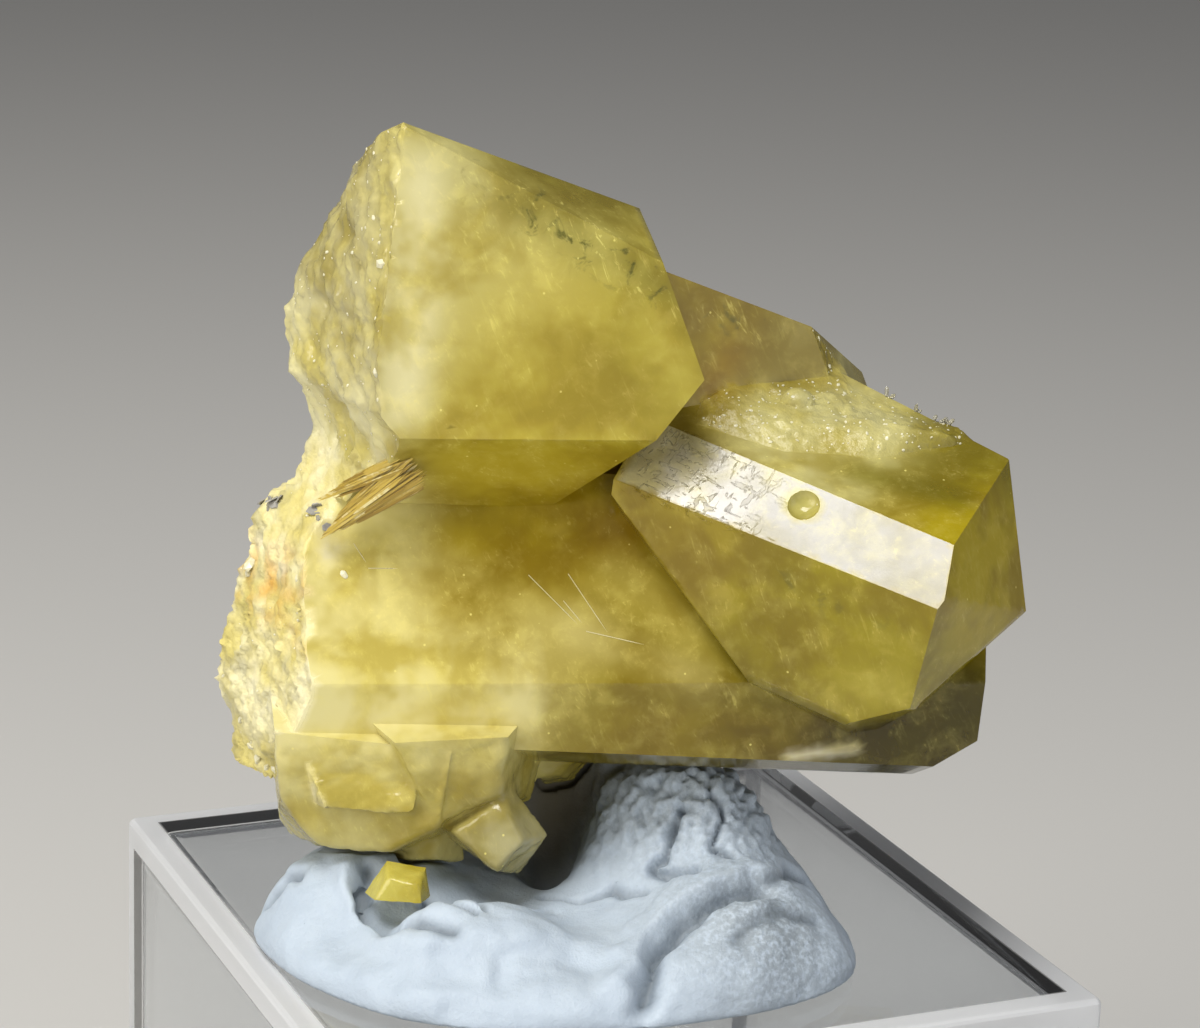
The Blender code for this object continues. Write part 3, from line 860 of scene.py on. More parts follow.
@dataclass
class CrystalCluster:
    """The grown mass of crystals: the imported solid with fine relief, tints and milky zones."""

    flat_edge: float = 0.75
    rough_edge: float = 0.36
    etched_relief: float = 0.19
    etched_from: float = 25.5
    broken_relief: float = 0.34
    crust_relief: float = 0.16
    small_relief: float = 0.12
    small_rounding: int = 5
    prow_centre: Point = (11.5, -5.0, 20.5)
    prow_crust: tuple[float, float, float] = (12, 69, 5.9)
    prow_strip: tuple[float, float] = (-14, 42)
    prow_front: tuple[float, float] = (25, 12)
    strip_scratched: tuple[float, float] = (2.4, 8.8)
    rust_height: float = 18.2
    cream: str = "#EAE4C0"
    rust: str = "#E0B05C"
    grey: str = "#B8B5A2"
    # Painted glare on the bright strip: pale grey all over and white on its scratched end, for the lamp's
    # reflection.
    strip_glare_grey: str = "#8F8F94"
    strip_glare_share: float = 0.8
    sharp_degrees: float = 18.0
    strip_glare_white: str = "#D6D3CC"
    side: BrokenSide = field(default_factory=BrokenSide)

    def zone_of(self, centre: Vector, normal: Vector) -> Zone:
        """Tell what kind of surface a face is.

        Args:
            centre: the face's middle.
            normal: the way it looks.

        Returns:
            The face's zone.
        """
        if normal.dot(looks(*self.prow_strip)) > 0.9995 and centre.x > 1.0:
            return Zone.STRIP
        up = looks(*self.prow_crust[:2])
        rise = (centre - Vector(self.prow_centre)).dot(up) - self.prow_crust[2]
        on_prow = centre.x > 3.0 and centre.y > -9.0 and centre.z > 25.0 and normal.z > 0.15
        if on_prow and 0.03 < rise < 1.8 and normal.dot(up) < 0.9995:
            if normal.dot(looks(*self.prow_front)) < 0.9995:
                return Zone.CRUST
        if abs(centre.x - self.side.x_at(centre.y, centre.z)) < 0.35 and normal.x < -0.1:
            return Zone.BROKEN if centre.z < self.etched_from else Zone.ETCHED
        if centre.z > 24.0 and normal.x < -0.55:
            return Zone.ETCHED
        if centre.z < 11.5 and centre.x < 0.0 and normal.z < 0.9:
            return Zone.SMALL
        return Zone.GLASSY

    def relief(self, zone: Zone, p: Vector) -> float:
        """Give how far a point of a rough zone is moved out.

        Args:
            zone: the zone.
            p: the point.

        Returns:
            Millimetres along the normal.
        """
        if zone is Zone.ETCHED:
            hills = noise.noise(Vector((p.x * 1.5, p.y * 1.5, p.z * 1.0)))
            return self.etched_relief * (hills + 0.7 * noise.noise(p * 3.6 + Vector((5, 1, 2))))
        if zone is Zone.BROKEN:
            slabs = noise.noise(Vector((p.x * 0.8, p.y * 1.1, p.z * 0.5)) + Vector((9, 4, 7))) * 3.0
            ledge = (round(slabs) - slabs) * 0.6
            return self.broken_relief * (ledge + 0.6 * noise.noise(p * 2.6))
        if zone is Zone.CRUST:
            return self.crust_relief * (noise.noise(p * 2.4) + 0.6 * noise.noise(p * 5.5))
        if zone is Zone.SMALL:
            humps = noise.noise(p * 0.9 + Vector((2, 2, 7)))
            return self.small_relief * (humps + 0.4 * noise.noise(p * 3.0))
        return 0.0

    def sculpt(self) -> bmesh.types.BMesh:
        """Copy the solid and give its rough zones their fine relief.

        Returns:
            The mesh, with each face's zone in its "zone" layer.
        """
        bm = node_mesh("brazilianite_cluster")
        bmesh.ops.dissolve_limit(bm, angle_limit=math.radians(0.4), verts=bm.verts, edges=bm.edges)
        bmesh.ops.triangulate(bm, faces=bm.faces)
        layer = bm.faces.layers.int.new("zone")
        bm.normal_update()
        for face in bm.faces:
            face[layer] = self.zone_of(face.calc_center_median(), face.normal).value
        rough = {Zone.ETCHED.value, Zone.BROKEN.value, Zone.CRUST.value, Zone.SMALL.value}

        def wanted(edge: bmesh.types.BMEdge) -> float:
            """Give the longest length for an edge, short beside a rough face."""
            near = any(face[layer] in rough for face in edge.link_faces)
            return self.rough_edge if near else self.flat_edge

        refine(bm, wanted, 7)
        small = [v for v in bm.verts if {face[layer] for face in v.link_faces} == {Zone.SMALL.value}]
        axes = {"use_axis_x": True, "use_axis_y": True, "use_axis_z": True}
        for _ in range(self.small_rounding):
            bmesh.ops.smooth_vert(bm, verts=small, factor=0.5, **axes)
        bm.normal_update()
        moves = []
        for vert in bm.verts:
            kinds = {face[layer] for face in vert.link_faces}
            if kinds and kinds <= rough:
                move = self.relief(Zone(vert.link_faces[0][layer]), vert.co)
                moves.append((vert, vert.normal * move))
        for vert, move in moves:
            vert.co += move
        return bm

    def tint_points(self, points: np.ndarray) -> tuple[np.ndarray, np.ndarray]:
        """Blend the cluster's tints at its points.

        Args:
            points: (n, 3) places in specimen millimetres.

        Returns:
            (n, 4) colours and (n,) shares of milkiness.
        """
        weight = np.zeros(len(points))
        colour = np.zeros((len(points), 4))
        milk = np.zeros(len(points))
        for tint in TINTS:
            distance = ((points - np.array(tint.place)) ** 2).sum(axis=1) / tint.spread**2
            share = np.exp(-0.9 * distance) + 1e-5
            weight += share
            colour += share[:, None] * np.array(linear(tint.colour))
            milk += share * tint.milk
        return colour / weight[:, None], milk / weight

    def weather(self, coat: PointCoat, index: int, p: Vector, zones: set[Zone]) -> None:
        """Give one point the wear of its zone.

        Args:
            coat: what the points carry.
            index: the point's number.
            p: its place in specimen millimetres.
            zones: the zones of the faces that meet there.
        """
        if Zone.BROKEN in zones:
            coat.stain(index, self.cream, 0.55 + 0.5 * noise.noise(p * 0.5 + Vector((2, 8, 1))))
            band = max(0.0, 1.0 - abs(p.z - self.rust_height) / 2.6)
            coat.stain(index, self.rust, 1.1 * band * (noise.noise(p * 0.9 + Vector((6, 3, 2))) + 0.25))
            scale = 4.0 * (noise.noise(p * 0.7 + Vector((1, 5, 9))) - 0.3)
            coat.stain(index, self.grey, min(0.5, scale))
            coat.milk[index] += 0.25
            coat.grit[index] = 0.75
        elif Zone.ETCHED in zones:
            coat.milk[index] += 0.1
            coat.grit[index] = 0.22
        elif Zone.CRUST in zones:
            coat.milk[index] += 0.15
            coat.grit[index] = 0.55
        elif Zone.STRIP in zones:
            low, high = self.strip_scratched
            ragged = p.x + 2.2 * noise.noise(p * 0.8 + Vector((4, 4, 1)))
            scratched = max(0.0, min(1.0, (high - ragged) / (high - low)))
            coat.grit[index] = 0.1
            coat.scratch[index] = scratched
            # Painted glare: the strip is stained grey, white on the scratched end, and made milkier, for
            # the lamp's reflection.
            if len(zones) == 1:
                coat.stain(index, self.strip_glare_grey, self.strip_glare_share)
                coat.stain(index, self.strip_glare_white, self.strip_glare_share * scratched)
                coat.milk[index] += 0.2
        elif Zone.SMALL in zones:
            coat.grit[index] = 0.12

    def build(self, finish: bpy.types.Material) -> bpy.types.Object:
        """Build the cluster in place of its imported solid.

        Args:
            finish: the brazilianite material.

        Returns:
            The new piece.
        """
        bm = self.sculpt()
        layer = bm.faces.layers.int["zone"]
        bm.verts.ensure_lookup_table()
        points = np.array([vert.co[:] for vert in bm.verts])
        coat = PointCoat(*self.tint_points(points))
        for mark in MARKS:
            coat.blend(mark, points)
        for index, vert in enumerate(bm.verts):
            self.weather(coat, index, vert.co, {Zone(face[layer]) for face in vert.link_faces})
        cluster = make_object("cluster_of_crystals", bm, finish)
        coat.store(cluster.data)
        shade(cluster.data, self.sharp_degrees)
        # The mirror-like strip shows the least turn of its normals, so its faces are shaded flat.
        for face, zone in zip(cluster.data.polygons, cluster.data.attributes["zone"].data):
            face.use_smooth = zone.value != Zone.STRIP.value
        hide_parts("brazilianite_cluster")
        return cluster


@dataclass
class CrystalChip:
    """The loose piece of crystal in the putty."""

    colour: str = "#CFC45E"
    milk: float = 0.35
    edge: float = 0.4
    knocks: float = 0.05
    grit: float = 0.3
    sharp_degrees: float = 24.0

    def build(self, finish: bpy.types.Material) -> bpy.types.Object:
        """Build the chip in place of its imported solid.

        Args:
            finish: the brazilianite material.

        Returns:
            The new piece.
        """
        bm = node_mesh("crystal_chip")
        bmesh.ops.triangulate(bm, faces=bm.faces)
        refine(bm, lambda edge: self.edge, 5)
        for vert in bm.verts:
            vert.co += vert.normal * self.knocks * noise.noise(vert.co * 3.0)
        count = len(bm.verts)
        chip = make_object("loose_crystal_chip", bm, finish)
        coat = PointCoat(np.tile(linear(self.colour), (count, 1)), np.full(count, self.milk))
        coat.grit += self.grit
        coat.store(chip.data)
        shade(chip.data, self.sharp_degrees)
        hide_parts("crystal_chip")
        return chip


@dataclass(frozen=True)
class Sheaf:
    """One layer of mica splinters, from its low end to its high end, with its half width at each."""

    low: Point
    high: Point
    low_width: float
    high_width: float
    thick: float
    blades: int


@dataclass
class MicaFlake:
    """The golden mica in the notch: two sheaves of splinters that fan out and end raggedly."""

    sheaves: tuple[Sheaf, ...] = (
        Sheaf((-14.1, -5.6, 21.7), (-9.0, -8.0, 26.3), 0.3, 1.1, 0.55, 170),
        Sheaf((-14.2, -5.2, 23.6), (-9.6, -7.8, 26.4), 0.25, 0.6, 0.7, 80),
    )
    faces: tuple[float, float] = (-20, -6)
    widths: tuple[float, float] = (0.03, 0.09)
    depths: tuple[float, float] = (0.02, 0.05)

    def splinter(
        self, bm: bmesh.types.BMesh, ends: tuple[Vector, Vector], size: tuple[float, float]
    ) -> list[bmesh.types.BMVert]:
        """Add one splinter, pointed at both ends.

        Args:
            bm: the mesh that gets it.
            ends: its two ends.
            size: half its width and half its depth.

        Returns:
            Its points.
        """
        first, last = ends
        line = last - first
        out = looks(*self.faces)
        across = out.cross(line).normalized()
        rings = []
        for share, swell in ((0.0, 0.15), (0.1, 0.8), (0.5, 1.0), (0.9, 0.75), (1.0, 0.1)):
            spot = first + line * share
            side = across * size[0] * swell
            deep = out * size[1] * swell
            corners = (-side - deep, side - deep, side + deep, deep - side)
            rings.append([bm.verts.new(spot + corner) for corner in corners])
        for ring, after in zip(rings, rings[1:]):
            for i in range(4):
                bm.faces.new((ring[i], ring[(i + 1) % 4], after[(i + 1) % 4], after[i]))
        bm.faces.new(rings[-1])
        bm.faces.new(reversed(rings[0]))
        return [vert for ring in rings for vert in ring]

    def build(self, finish: bpy.types.Material) -> bpy.types.Object:
        """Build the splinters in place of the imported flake.

        Args:
            finish: the mica material.

        Returns:
            The new piece.
        """
        chance = random.Random(11)
        out = looks(*self.faces)
        bm = bmesh.new()
        grain = bm.verts.layers.float.new("grain")
        for sheaf in self.sheaves:
            low, high = Vector(sheaf.low), Vector(sheaf.high)
            across = out.cross(high - low).normalized()
            for _ in range(sheaf.blades):
                side = chance.uniform(-1.0, 1.0)
                start = chance.uniform(-0.05, 0.55) + 0.25 * abs(side)
                end = min(1.0 - 0.15 * abs(side), start + chance.uniform(0.3, 0.7))
                end += chance.uniform(-0.06, 0.06)
                lift = out * chance.uniform(0.05, 1.0) * sheaf.thick * (1.0 - 0.5 * abs(side))
                spots = []
                for share in (start, end):
                    width = sheaf.low_width + (sheaf.high_width - sheaf.low_width) * share
                    spots.append(low.lerp(high, share) + across * side * width + lift)
                shade_value = chance.random()
                size = (chance.uniform(*self.widths), chance.uniform(*self.depths))
                for vert in self.splinter(bm, (spots[0], spots[1]), size):
                    vert[grain] = shade_value
        bmesh.ops.recalc_face_normals(bm, faces=bm.faces)
        flake = make_object("golden_mica_splinters", bm, finish)
        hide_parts("mica_flake")
        return flake


@dataclass(frozen=True)
class Fold:
    """A crease or a ridge in the putty, along (x, y) places in specimen millimetres."""

    name: str
    line: tuple[tuple[float, float], ...]
    width: float
    rise: float

    def share(self, places: np.ndarray) -> np.ndarray:
        """Give how much of the fold there is at many places.

        Args:
            places: (n, 2) places.

        Returns:
            (n,) shares from 0 to 1.
        """
        nearest = np.full(len(places), 99.0)
        for start, end in zip(self.line, self.line[1:]):
            first, line = np.array(start), np.array(end) - np.array(start)
            along = np.clip(((places - first) @ line) / (line @ line), 0.0, 1.0)
            nearest = np.minimum(nearest, np.linalg.norm(places - first - along[:, None] * line, axis=1))
        return np.exp(-((nearest / self.width) ** 2))


FOLDS = (
    Fold(
        "lip over the deep fold",
        ((9.6, -7.4), (8.4, -8.3), (5.0, -9.5), (2.8, -11.8), (1.5, -15.8)),
        0.9, 0.6,
    ),
    Fold("deep fold", ((8.9, -9.2), (6.3, -10.7), (4.4, -11.7), (3.4, -13.6), (2.7, -16.2)), 0.6, -1.2),
    Fold(
        "torn crack in the peak",
        ((4.3, -5.7), (3.9, -6.6), (3.3, -7.4), (4.2, -8.0), (5.2, -8.4)),
        0.24, -0.7,
    ),
    Fold("second crack in the peak", ((6.2, -4.6), (6.8, -5.8), (6.3, -6.9), (7.2, -7.6)), 0.22, -0.5),
    Fold("rim of the hollow", ((-12.6, -8.0), (-12.2, -10.2), (-10.8, -12.6), (-8.0, -14.4)), 0.7, 0.4),
    Fold(
        "hollow",
        ((-11.4, -8.2), (-11.2, -9.8), (-10.0, -12.0), (-8.2, -13.2), (-6.6, -13.7)),
        0.55, -0.75,
    ),
    Fold(
        "crack out of the hollow",
        ((-8.3, -8.8), (-7.3, -10.2), (-7.0, -11.6), (-5.8, -12.4)),
        0.28, -0.6,
    ),
    Fold("short crack beside it", ((-6.6, -9.6), (-5.6, -10.6), (-5.2, -11.9)), 0.22, -0.4),
    Fold("notch in the left rim", ((-17.4, -5.8), (-16.4, -6.5), (-15.2, -7.0)), 0.45, -0.9),
    Fold(
        "long dent down the left",
        ((-14.6, -4.4), (-13.6, -8.6), (-10.8, -13.6), (-7.0, -16.0)),
        1.3, -0.35,
    ),
    Fold("crack under the crystal", ((-2.4, -6.6), (-0.6, -7.6), (1.0, -7.3), (2.6, -8.4)), 0.25, -0.5),
    Fold("small crack", ((-4.4, -8.2), (-3.0, -9.0), (-1.8, -8.7)), 0.2, -0.35),
    Fold("crease down the right", ((11.4, -4.6), (10.2, -6.4), (9.2, -8.2)), 0.45, -0.55),
    Fold("crease in the right lobe", ((11.6, -9.2), (9.6, -10.6), (7.6, -13.0)), 0.5, -0.35),
    Fold("thumb mark in front", ((-4.2, -15.4), (-1.6, -14.2), (0.4, -14.8)), 1.1, -0.4),
    Fold("dent behind", ((-10.0, -0.6), (-4.0, 0.8), (2.0, 2.0)), 0.6, -0.5),
)


@dataclass
class PuttyPad:
    """The putty, with kneading folds, cracks, a torn peak and a fuzzy right lobe."""

    voxel: float = 0.19
    dent_depth: float = 0.3
    lump_depth: float = 0.1
    tear_depth: float = 0.42
    fuzz_depth: float = 0.1
    highest_rise: float = 0.45
    sharp_degrees: float = 70.0
    peak: Point = (5.0, -3.5, 7.0)
    peak_reach: Point = (4.6, 3.6, 3.4)
    lobe: Point = (9.0, -11.0, 3.0)
    lobe_reach: Point = (4.6, 4.6, 5.0)
    # Where the painted shade lies in the hollow under the crystals, tinted olive as light through them.
    hollow: Point = (-1.2, 0.2, 4.6)
    cave_shade_reach: Point = (4.4, 2.7, 5.0)

    def even_mesh(self, pad: bpy.types.Object, finish: bpy.types.Material) -> bpy.types.Mesh:
        """Swap a piece's mesh for one of small even faces.

        Args:
            pad: the piece.
            finish: its material.

        Returns:
            The new mesh, in specimen millimetres.
        """
        remesh = pad.modifiers.new("Even mesh", "REMESH")
        remesh.mode = "VOXEL"
        remesh.voxel_size = self.voxel * MM
        graph = bpy.context.evaluated_depsgraph_get()
        even = bpy.data.meshes.new_from_object(pad.evaluated_get(graph))
        pad.modifiers.clear()
        old = pad.data
        pad.data = even
        bpy.data.meshes.remove(old)
        if not even.materials:
            even.materials.append(finish)
        even.transform(SPECIMEN.to_specimen())
        return even

    def build(self, finish: bpy.types.Material) -> bpy.types.Object:
        """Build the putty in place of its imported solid.

        Args:
            finish: the putty material.

        Returns:
            The new piece.
        """
        pad = make_object("kneaded_putty", node_mesh("putty_pad"), finish)
        even = self.even_mesh(pad, finish)
        count = len(even.vertices)
        points, normals = np.empty(count * 3, np.float32), np.empty(count * 3, np.float32)
        even.vertices.foreach_get("co", points)
        even.vertices.foreach_get("normal", normals)
        points, normals = points.reshape(-1, 3), normals.reshape(-1, 3)

        spots = [Vector(point) for point in points]
        drift = Vector((5, 3, 9))
        wander = np.array([(noise.noise(p * 0.7), noise.noise(p * 0.7 + drift)) for p in spots])
        places = points[:, :2] + 0.5 * wander
        broad = np.array([noise.noise(p * 0.3 + Vector((4, 2, 8))) for p in spots])
        lumps = np.array([noise.noise(p * 0.9 + Vector((1, 7, 2))) for p in spots])
        rips = np.array([abs(noise.noise(p * 1.1 + Vector((3, 9, 1)))) for p in spots])
        tears = rips + 0.5 * np.array([noise.noise(p * 2.7) for p in spots])
        fuzz = np.array([noise.noise(p * 5.5) + 0.6 * noise.noise(p * 11.0) for p in spots])
        torn = np.exp(-(((points - self.peak) / self.peak_reach) ** 2).sum(axis=1))
        fuzzy = np.exp(-(((points - self.lobe) / self.lobe_reach) ** 2).sum(axis=1))
        # The hollow under the crystals gets painted shade, tinted olive as painted light through them.
        hollow = np.exp(-(((points - self.hollow) / self.cave_shade_reach) ** 4).sum(axis=1))

        move = self.dent_depth * broad + self.lump_depth * lumps
        move += self.tear_depth * torn * (tears - 0.25) * 2.0
        move += self.fuzz_depth * fuzz * np.clip(fuzzy + 0.5 * torn, 0.0, 1.0)
        # Painted shade: deep narrow creases and the tears in the torn peak are darkened (fold).
        fold = np.zeros(count)
        for crease in FOLDS:
            share = crease.share(places)
            move += crease.rise * share
            if crease.rise < -0.3 and crease.width < 1.0:
                fold = np.maximum(fold, 0.75 * share**2)
        fold = np.maximum(fold, torn * np.clip(-4.0 * (tears - 0.08), 0.0, 0.6))
        low = np.clip((points[:, 2] - 0.25) / 0.8, 0.0, 1.0)
        moved = points + normals * (np.minimum(move, self.highest_rise) * low)[:, None]
        even.vertices.foreach_set("co", moved.astype(np.float32).ravel())
        even.transform(SPECIMEN.to_model())
        # fold and hollow carry painted shade, the hollow's tinted olive as light through the crystals;
        # dust is dirt.
        set_attribute(even, "fold", fold)
        set_attribute(even, "hollow", 0.92 * hollow)
        set_attribute(even, "dust", np.clip(0.9 * fuzzy + 0.45 * torn, 0.0, 1.0))
        shade(even, self.sharp_degrees)
        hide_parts("putty_pad")
        return pad


@dataclass
class DisplayBox:
    """The clear box, open below, with moulded round edges inside and out."""

    side: float = 40.0
    height: float = 25.0
    wall: float = 1.6
    outer_edge: float = 0.45
    inner_edge: float = 0.9
    edge_steps: int = 4
    cut_past_rim: float = 3.0
    sharp_degrees: float = 20.0

    def shell(self, side: float, low: float, high: float, edge: float) -> bmesh.types.BMesh:
        """Make a square block with rounded edges, in specimen millimetres.

        Args:
            side: its side.
            low: its lowest height.
            high: its highest height.
            edge: the radius of its edges.

        Returns:
            The block's mesh.
        """
        bm = bmesh.new()
        turn = Matrix.Rotation(math.radians(-SPECIMEN.turn), 4, "Z")
        place = turn @ Matrix.Translation((0, 0, (low + high) / 2))
        scale = Matrix.Diagonal((side, side, high - low, 1.0))
        bmesh.ops.create_cube(bm, size=1.0, matrix=place @ scale)
        rounding = {"offset": edge, "segments": self.edge_steps, "profile": 0.5, "affect": "EDGES"}
        bmesh.ops.bevel(bm, geom=bm.edges[:], **rounding)
        return bm

    def build(self, finish: bpy.types.Material) -> bpy.types.Object:
        """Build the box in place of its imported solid.

        Args:
            finish: the plastic material.

        Returns:
            The new piece.
        """
        outside = self.shell(self.side, -self.height, 0.0, self.outer_edge)
        box = make_object("clear_display_box", outside, finish)
        inner_side = self.side - 2 * self.wall
        low = -self.height - self.cut_past_rim
        inside = self.shell(inner_side, low, -self.wall, self.inner_edge)
        inside.transform(SPECIMEN.to_model())
        mesh = bpy.data.meshes.new("box_inside")
        inside.to_mesh(mesh)
        inside.free()
        cutter = bpy.data.objects.new("box_inside", mesh)
        bpy.context.scene.collection.objects.link(cutter)
        cut = box.modifiers.new("Hollow", "BOOLEAN")
        cut.operation = "DIFFERENCE"
        cut.object = cutter
        cut.solver = "EXACT"
        bpy.context.view_layer.update()
        graph = bpy.context.evaluated_depsgraph_get()
        hollow = bpy.data.meshes.new_from_object(box.evaluated_get(graph))
        box.modifiers.clear()
        box.data = hollow
        bpy.data.objects.remove(cutter)
        shade(hollow, self.sharp_degrees)
        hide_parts("display_box")
        return box


class Skin:
    """Finds places on a dressed piece's surface."""

    def __init__(self, piece: bpy.types.Object) -> None:
        """Read a piece's faces.

        Args:
            piece: the dressed piece, with a zone for each face.
        """
        to_specimen = SPECIMEN.to_specimen()
        points = [to_specimen @ vert.co for vert in piece.data.vertices]
        polygons = piece.data.polygons
        self.tree = BVHTree.FromPolygons(points, [list(polygon.vertices) for polygon in polygons])
        zones = piece.data.attributes["zone"].data
        self.by_zone: dict[Zone, list[tuple[Vector, Vector, float]]] = {zone: [] for zone in Zone}
        turn = to_specimen.to_quaternion()
        for polygon in polygons:
            spot = (to_specimen @ polygon.center, turn @ polygon.normal, polygon.area)
            self.by_zone[Zone(zones[polygon.index].value)].append(spot)

    def nearest(self, place: Point) -> tuple[Vector, Vector]:
        """Give the surface's nearest point and its outward direction."""
        point, normal, _, _ = self.tree.find_nearest(Vector(place))
        return point, normal

    def pick(self, zone: Zone, count: int, chance: random.Random) -> list[tuple[Vector, Vector]]:
        """Pick places on faces of one zone, larger faces more often.

        Args:
            zone: the zone.
            count: how many places.
            chance: the seeded source.

        Returns:
            The places and the directions that the surface looks along there.
        """
        spots = self.by_zone[zone]
        if not spots:
            return []
        chosen = chance.choices(spots, weights=[area for _, _, area in spots], k=count)
        return [(place, normal) for place, normal, _ in chosen]


@dataclass(frozen=True)
class Bit:
    """One grain that sits on the crystals at a place, with its radius."""

    place: Point
    radius: float


@dataclass
class SurfaceBits:
    """What is small on the crystals: white grains, glints, needles, grey plates and tiny crystals."""

    white: tuple[Bit, ...] = (
        Bit((-10.6, -7.4, 36.2), 0.3),
        Bit((-10.9, -7.2, 36.8), 0.18),
        Bit((-11.4, -9.0, 31.0), 0.27),
        Bit((-11.6, -6.6, 38.2), 0.2),
        Bit((-13.0, -6.0, 19.8), 0.3),
        Bit((-14.9, -4.9, 18.9), 0.22),
        Bit((-18.9, -1.2, 19.0), 0.42),
        Bit((-18.6, -1.0, 18.2), 0.3),
        Bit((-18.2, -2.4, 9.0), 0.34),
        Bit((-17.6, -3.0, 8.7), 0.36),
        Bit((-17.0, -3.6, 8.4), 0.3),
        Bit((-16.5, -4.2, 8.6), 0.24),
        Bit((-18.9, -2.0, 10.4), 0.25),
    )
    grey: tuple[Bit, ...] = (
        Bit((-17.3, -0.6, 21.9), 0.55),
        Bit((-16.9, -1.2, 22.1), 0.45),
        Bit((-17.6, 0.2, 21.6), 0.5),
        Bit((-14.4, -3.6, 22.6), 0.5),
        Bit((-14.1, -4.4, 21.8), 0.42),
    )
    needles: tuple[tuple[Point, Point], ...] = (
        ((-3.7, -5.7, 20.0), (-1.1, -6.8, 17.8)),
        ((-1.7, -5.6, 20.1), (0.4, -7.0, 17.5)),
        ((-0.7, -6.9, 17.5), (2.3, -7.2, 17.0)),
        ((-1.9, -6.3, 18.9), (-0.9, -6.8, 17.9)),
        ((-11.8, -5.8, 20.1), (-10.3, -5.9, 20.2)),
        ((-12.6, -5.2, 21.2), (-11.9, -5.8, 20.4)),
    )
    crest: tuple[Point, ...] = (
        (14.3, 0.2, 28.5),
        (15.9, -0.9, 28.1),
        (17.0, -1.2, 27.9),
        (17.5, -1.5, 27.8),
    )
    grains_by_zone: tuple[tuple[Zone, int], ...] = (
        (Zone.CRUST, 220),
        (Zone.ETCHED, 260),
        (Zone.BROKEN, 80),
    )
    grain_radii: tuple[float, ...] = (0.04, 0.05, 0.06, 0.08, 0.11)
    needle_radius: float = 0.026

    def grain(
        self, bm: bmesh.types.BMesh, place: Vector, normal: Vector, size: float, chance: random.Random
    ) -> None:
        """Add one angular grain that lies on the surface.

        Args:
            bm: the mesh that gets it.
            place: the surface's point.
            normal: the way the surface looks.
            size: its radius.
            chance: the seeded source of its shape.
        """
        made = bmesh.ops.create_icosphere(bm, subdivisions=1, radius=size)["verts"]
        turn = normal.to_track_quat("Z", "Y").to_matrix()
        turn = turn @ Matrix.Rotation(chance.uniform(0, math.tau), 3, "Z")
        scale = Vector((chance.uniform(0.7, 1.3), chance.uniform(0.6, 1.1), chance.uniform(0.35, 0.7)))
        for vert in made:
            vert.co = place + turn @ (vert.co * scale) * chance.uniform(0.82, 1.12)

    def plate(
        self, bm: bmesh.types.BMesh, place: Vector, normal: Vector, size: float, chance: random.Random
    ) -> None:
        """Add one thin six-sided plate that lies on the surface.

        Args:
            bm: the mesh that gets it.
            place: the surface's point.
            normal: the way the surface looks.
            size: its radius.
            chance: the seeded source of its turn and lean.
        """
        lean = Vector([chance.uniform(-0.5, 0.5) for _ in range(3)])
        turn = (normal + lean).normalized().to_track_quat("Z", "Y").to_matrix().to_4x4()
        shape = Matrix.Diagonal((1.0, chance.uniform(0.6, 0.9), 1.0, 1.0))
        matrix = Matrix.Translation(place + normal * 0.05) @ turn @ shape
        radii = {"radius1": size, "radius2": size * 0.92}
        bmesh.ops.create_cone(bm, cap_ends=True, segments=6, depth=0.07, matrix=matrix, **radii)

    def prism(self, bm: bmesh.types.BMesh, foot: Vector, tip: Vector, radius: float) -> None:
        """Add one six-sided crystal with a pointed end.

        Args:
            bm: the mesh that gets it.
            foot: the middle of its foot.
            tip: its point.
            radius: half its width.
        """
        line = tip - foot
        side = line.orthogonal().normalized()
        other = line.cross(side).normalized()
        rings = []
        for share in (0.0, 0.78):
            turns = [math.tau * i / 6 for i in range(6)]
            middle = foot + line * share
            spokes = [side * math.cos(a) + other * math.sin(a) for a in turns]
            rings.append([bm.verts.new(middle + spoke * radius) for spoke in spokes])
        point = bm.verts.new(tip)
        for i in range(6):
            after = (i + 1) % 6
            bm.faces.new((rings[0][i], rings[0][after], rings[1][after], rings[1][i]))
            bm.faces.new((rings[1][i], rings[1][after], point))
        bm.faces.new(reversed(rings[0]))

    def piece(self, name: str, bm: bmesh.types.BMesh, finish: GrainFinish) -> bpy.types.Object:
        """Finish one piece of many small bits.

        Args:
            name: the piece's name.
            bm: its mesh.
            finish: its finish.

        Returns:
            The new piece.
        """
        bmesh.ops.recalc_face_normals(bm, faces=bm.faces)
        thing = make_object(name, bm, finish.material())
        return thing

    def jitter(self, chance: random.Random) -> Vector:
        """Give a small random shift."""
        return Vector([chance.uniform(-0.3, 0.3) for _ in range(3)])

    def build(self, cluster: bpy.types.Object) -> list[bpy.types.Object]:
        """Set the small bits on the dressed cluster.

        Args:
            cluster: the dressed cluster.

        Returns:
            The new pieces.
        """
        chance = random.Random(5)
        skin = Skin(cluster)

        grains = bmesh.new()
        for bit in self.white:
            self.grain(grains, *skin.nearest(bit.place), bit.radius, chance)
        for zone, count in self.grains_by_zone:
            for place, normal in skin.pick(zone, count, chance):
                self.grain(grains, place, normal, chance.choice(self.grain_radii), chance)

        plates = bmesh.new()
        for bit in self.grey:
            for _ in range(3):
                place, normal = skin.nearest(Vector(bit.place) + self.jitter(chance))
                self.plate(plates, place, normal, bit.radius * chance.uniform(0.6, 1.0), chance)

        needles = bmesh.new()
        for start, end in self.needles:
            (foot, _), (tip, _) = skin.nearest(start), skin.nearest(end)
            self.prism(needles, foot, tip, self.needle_radius)

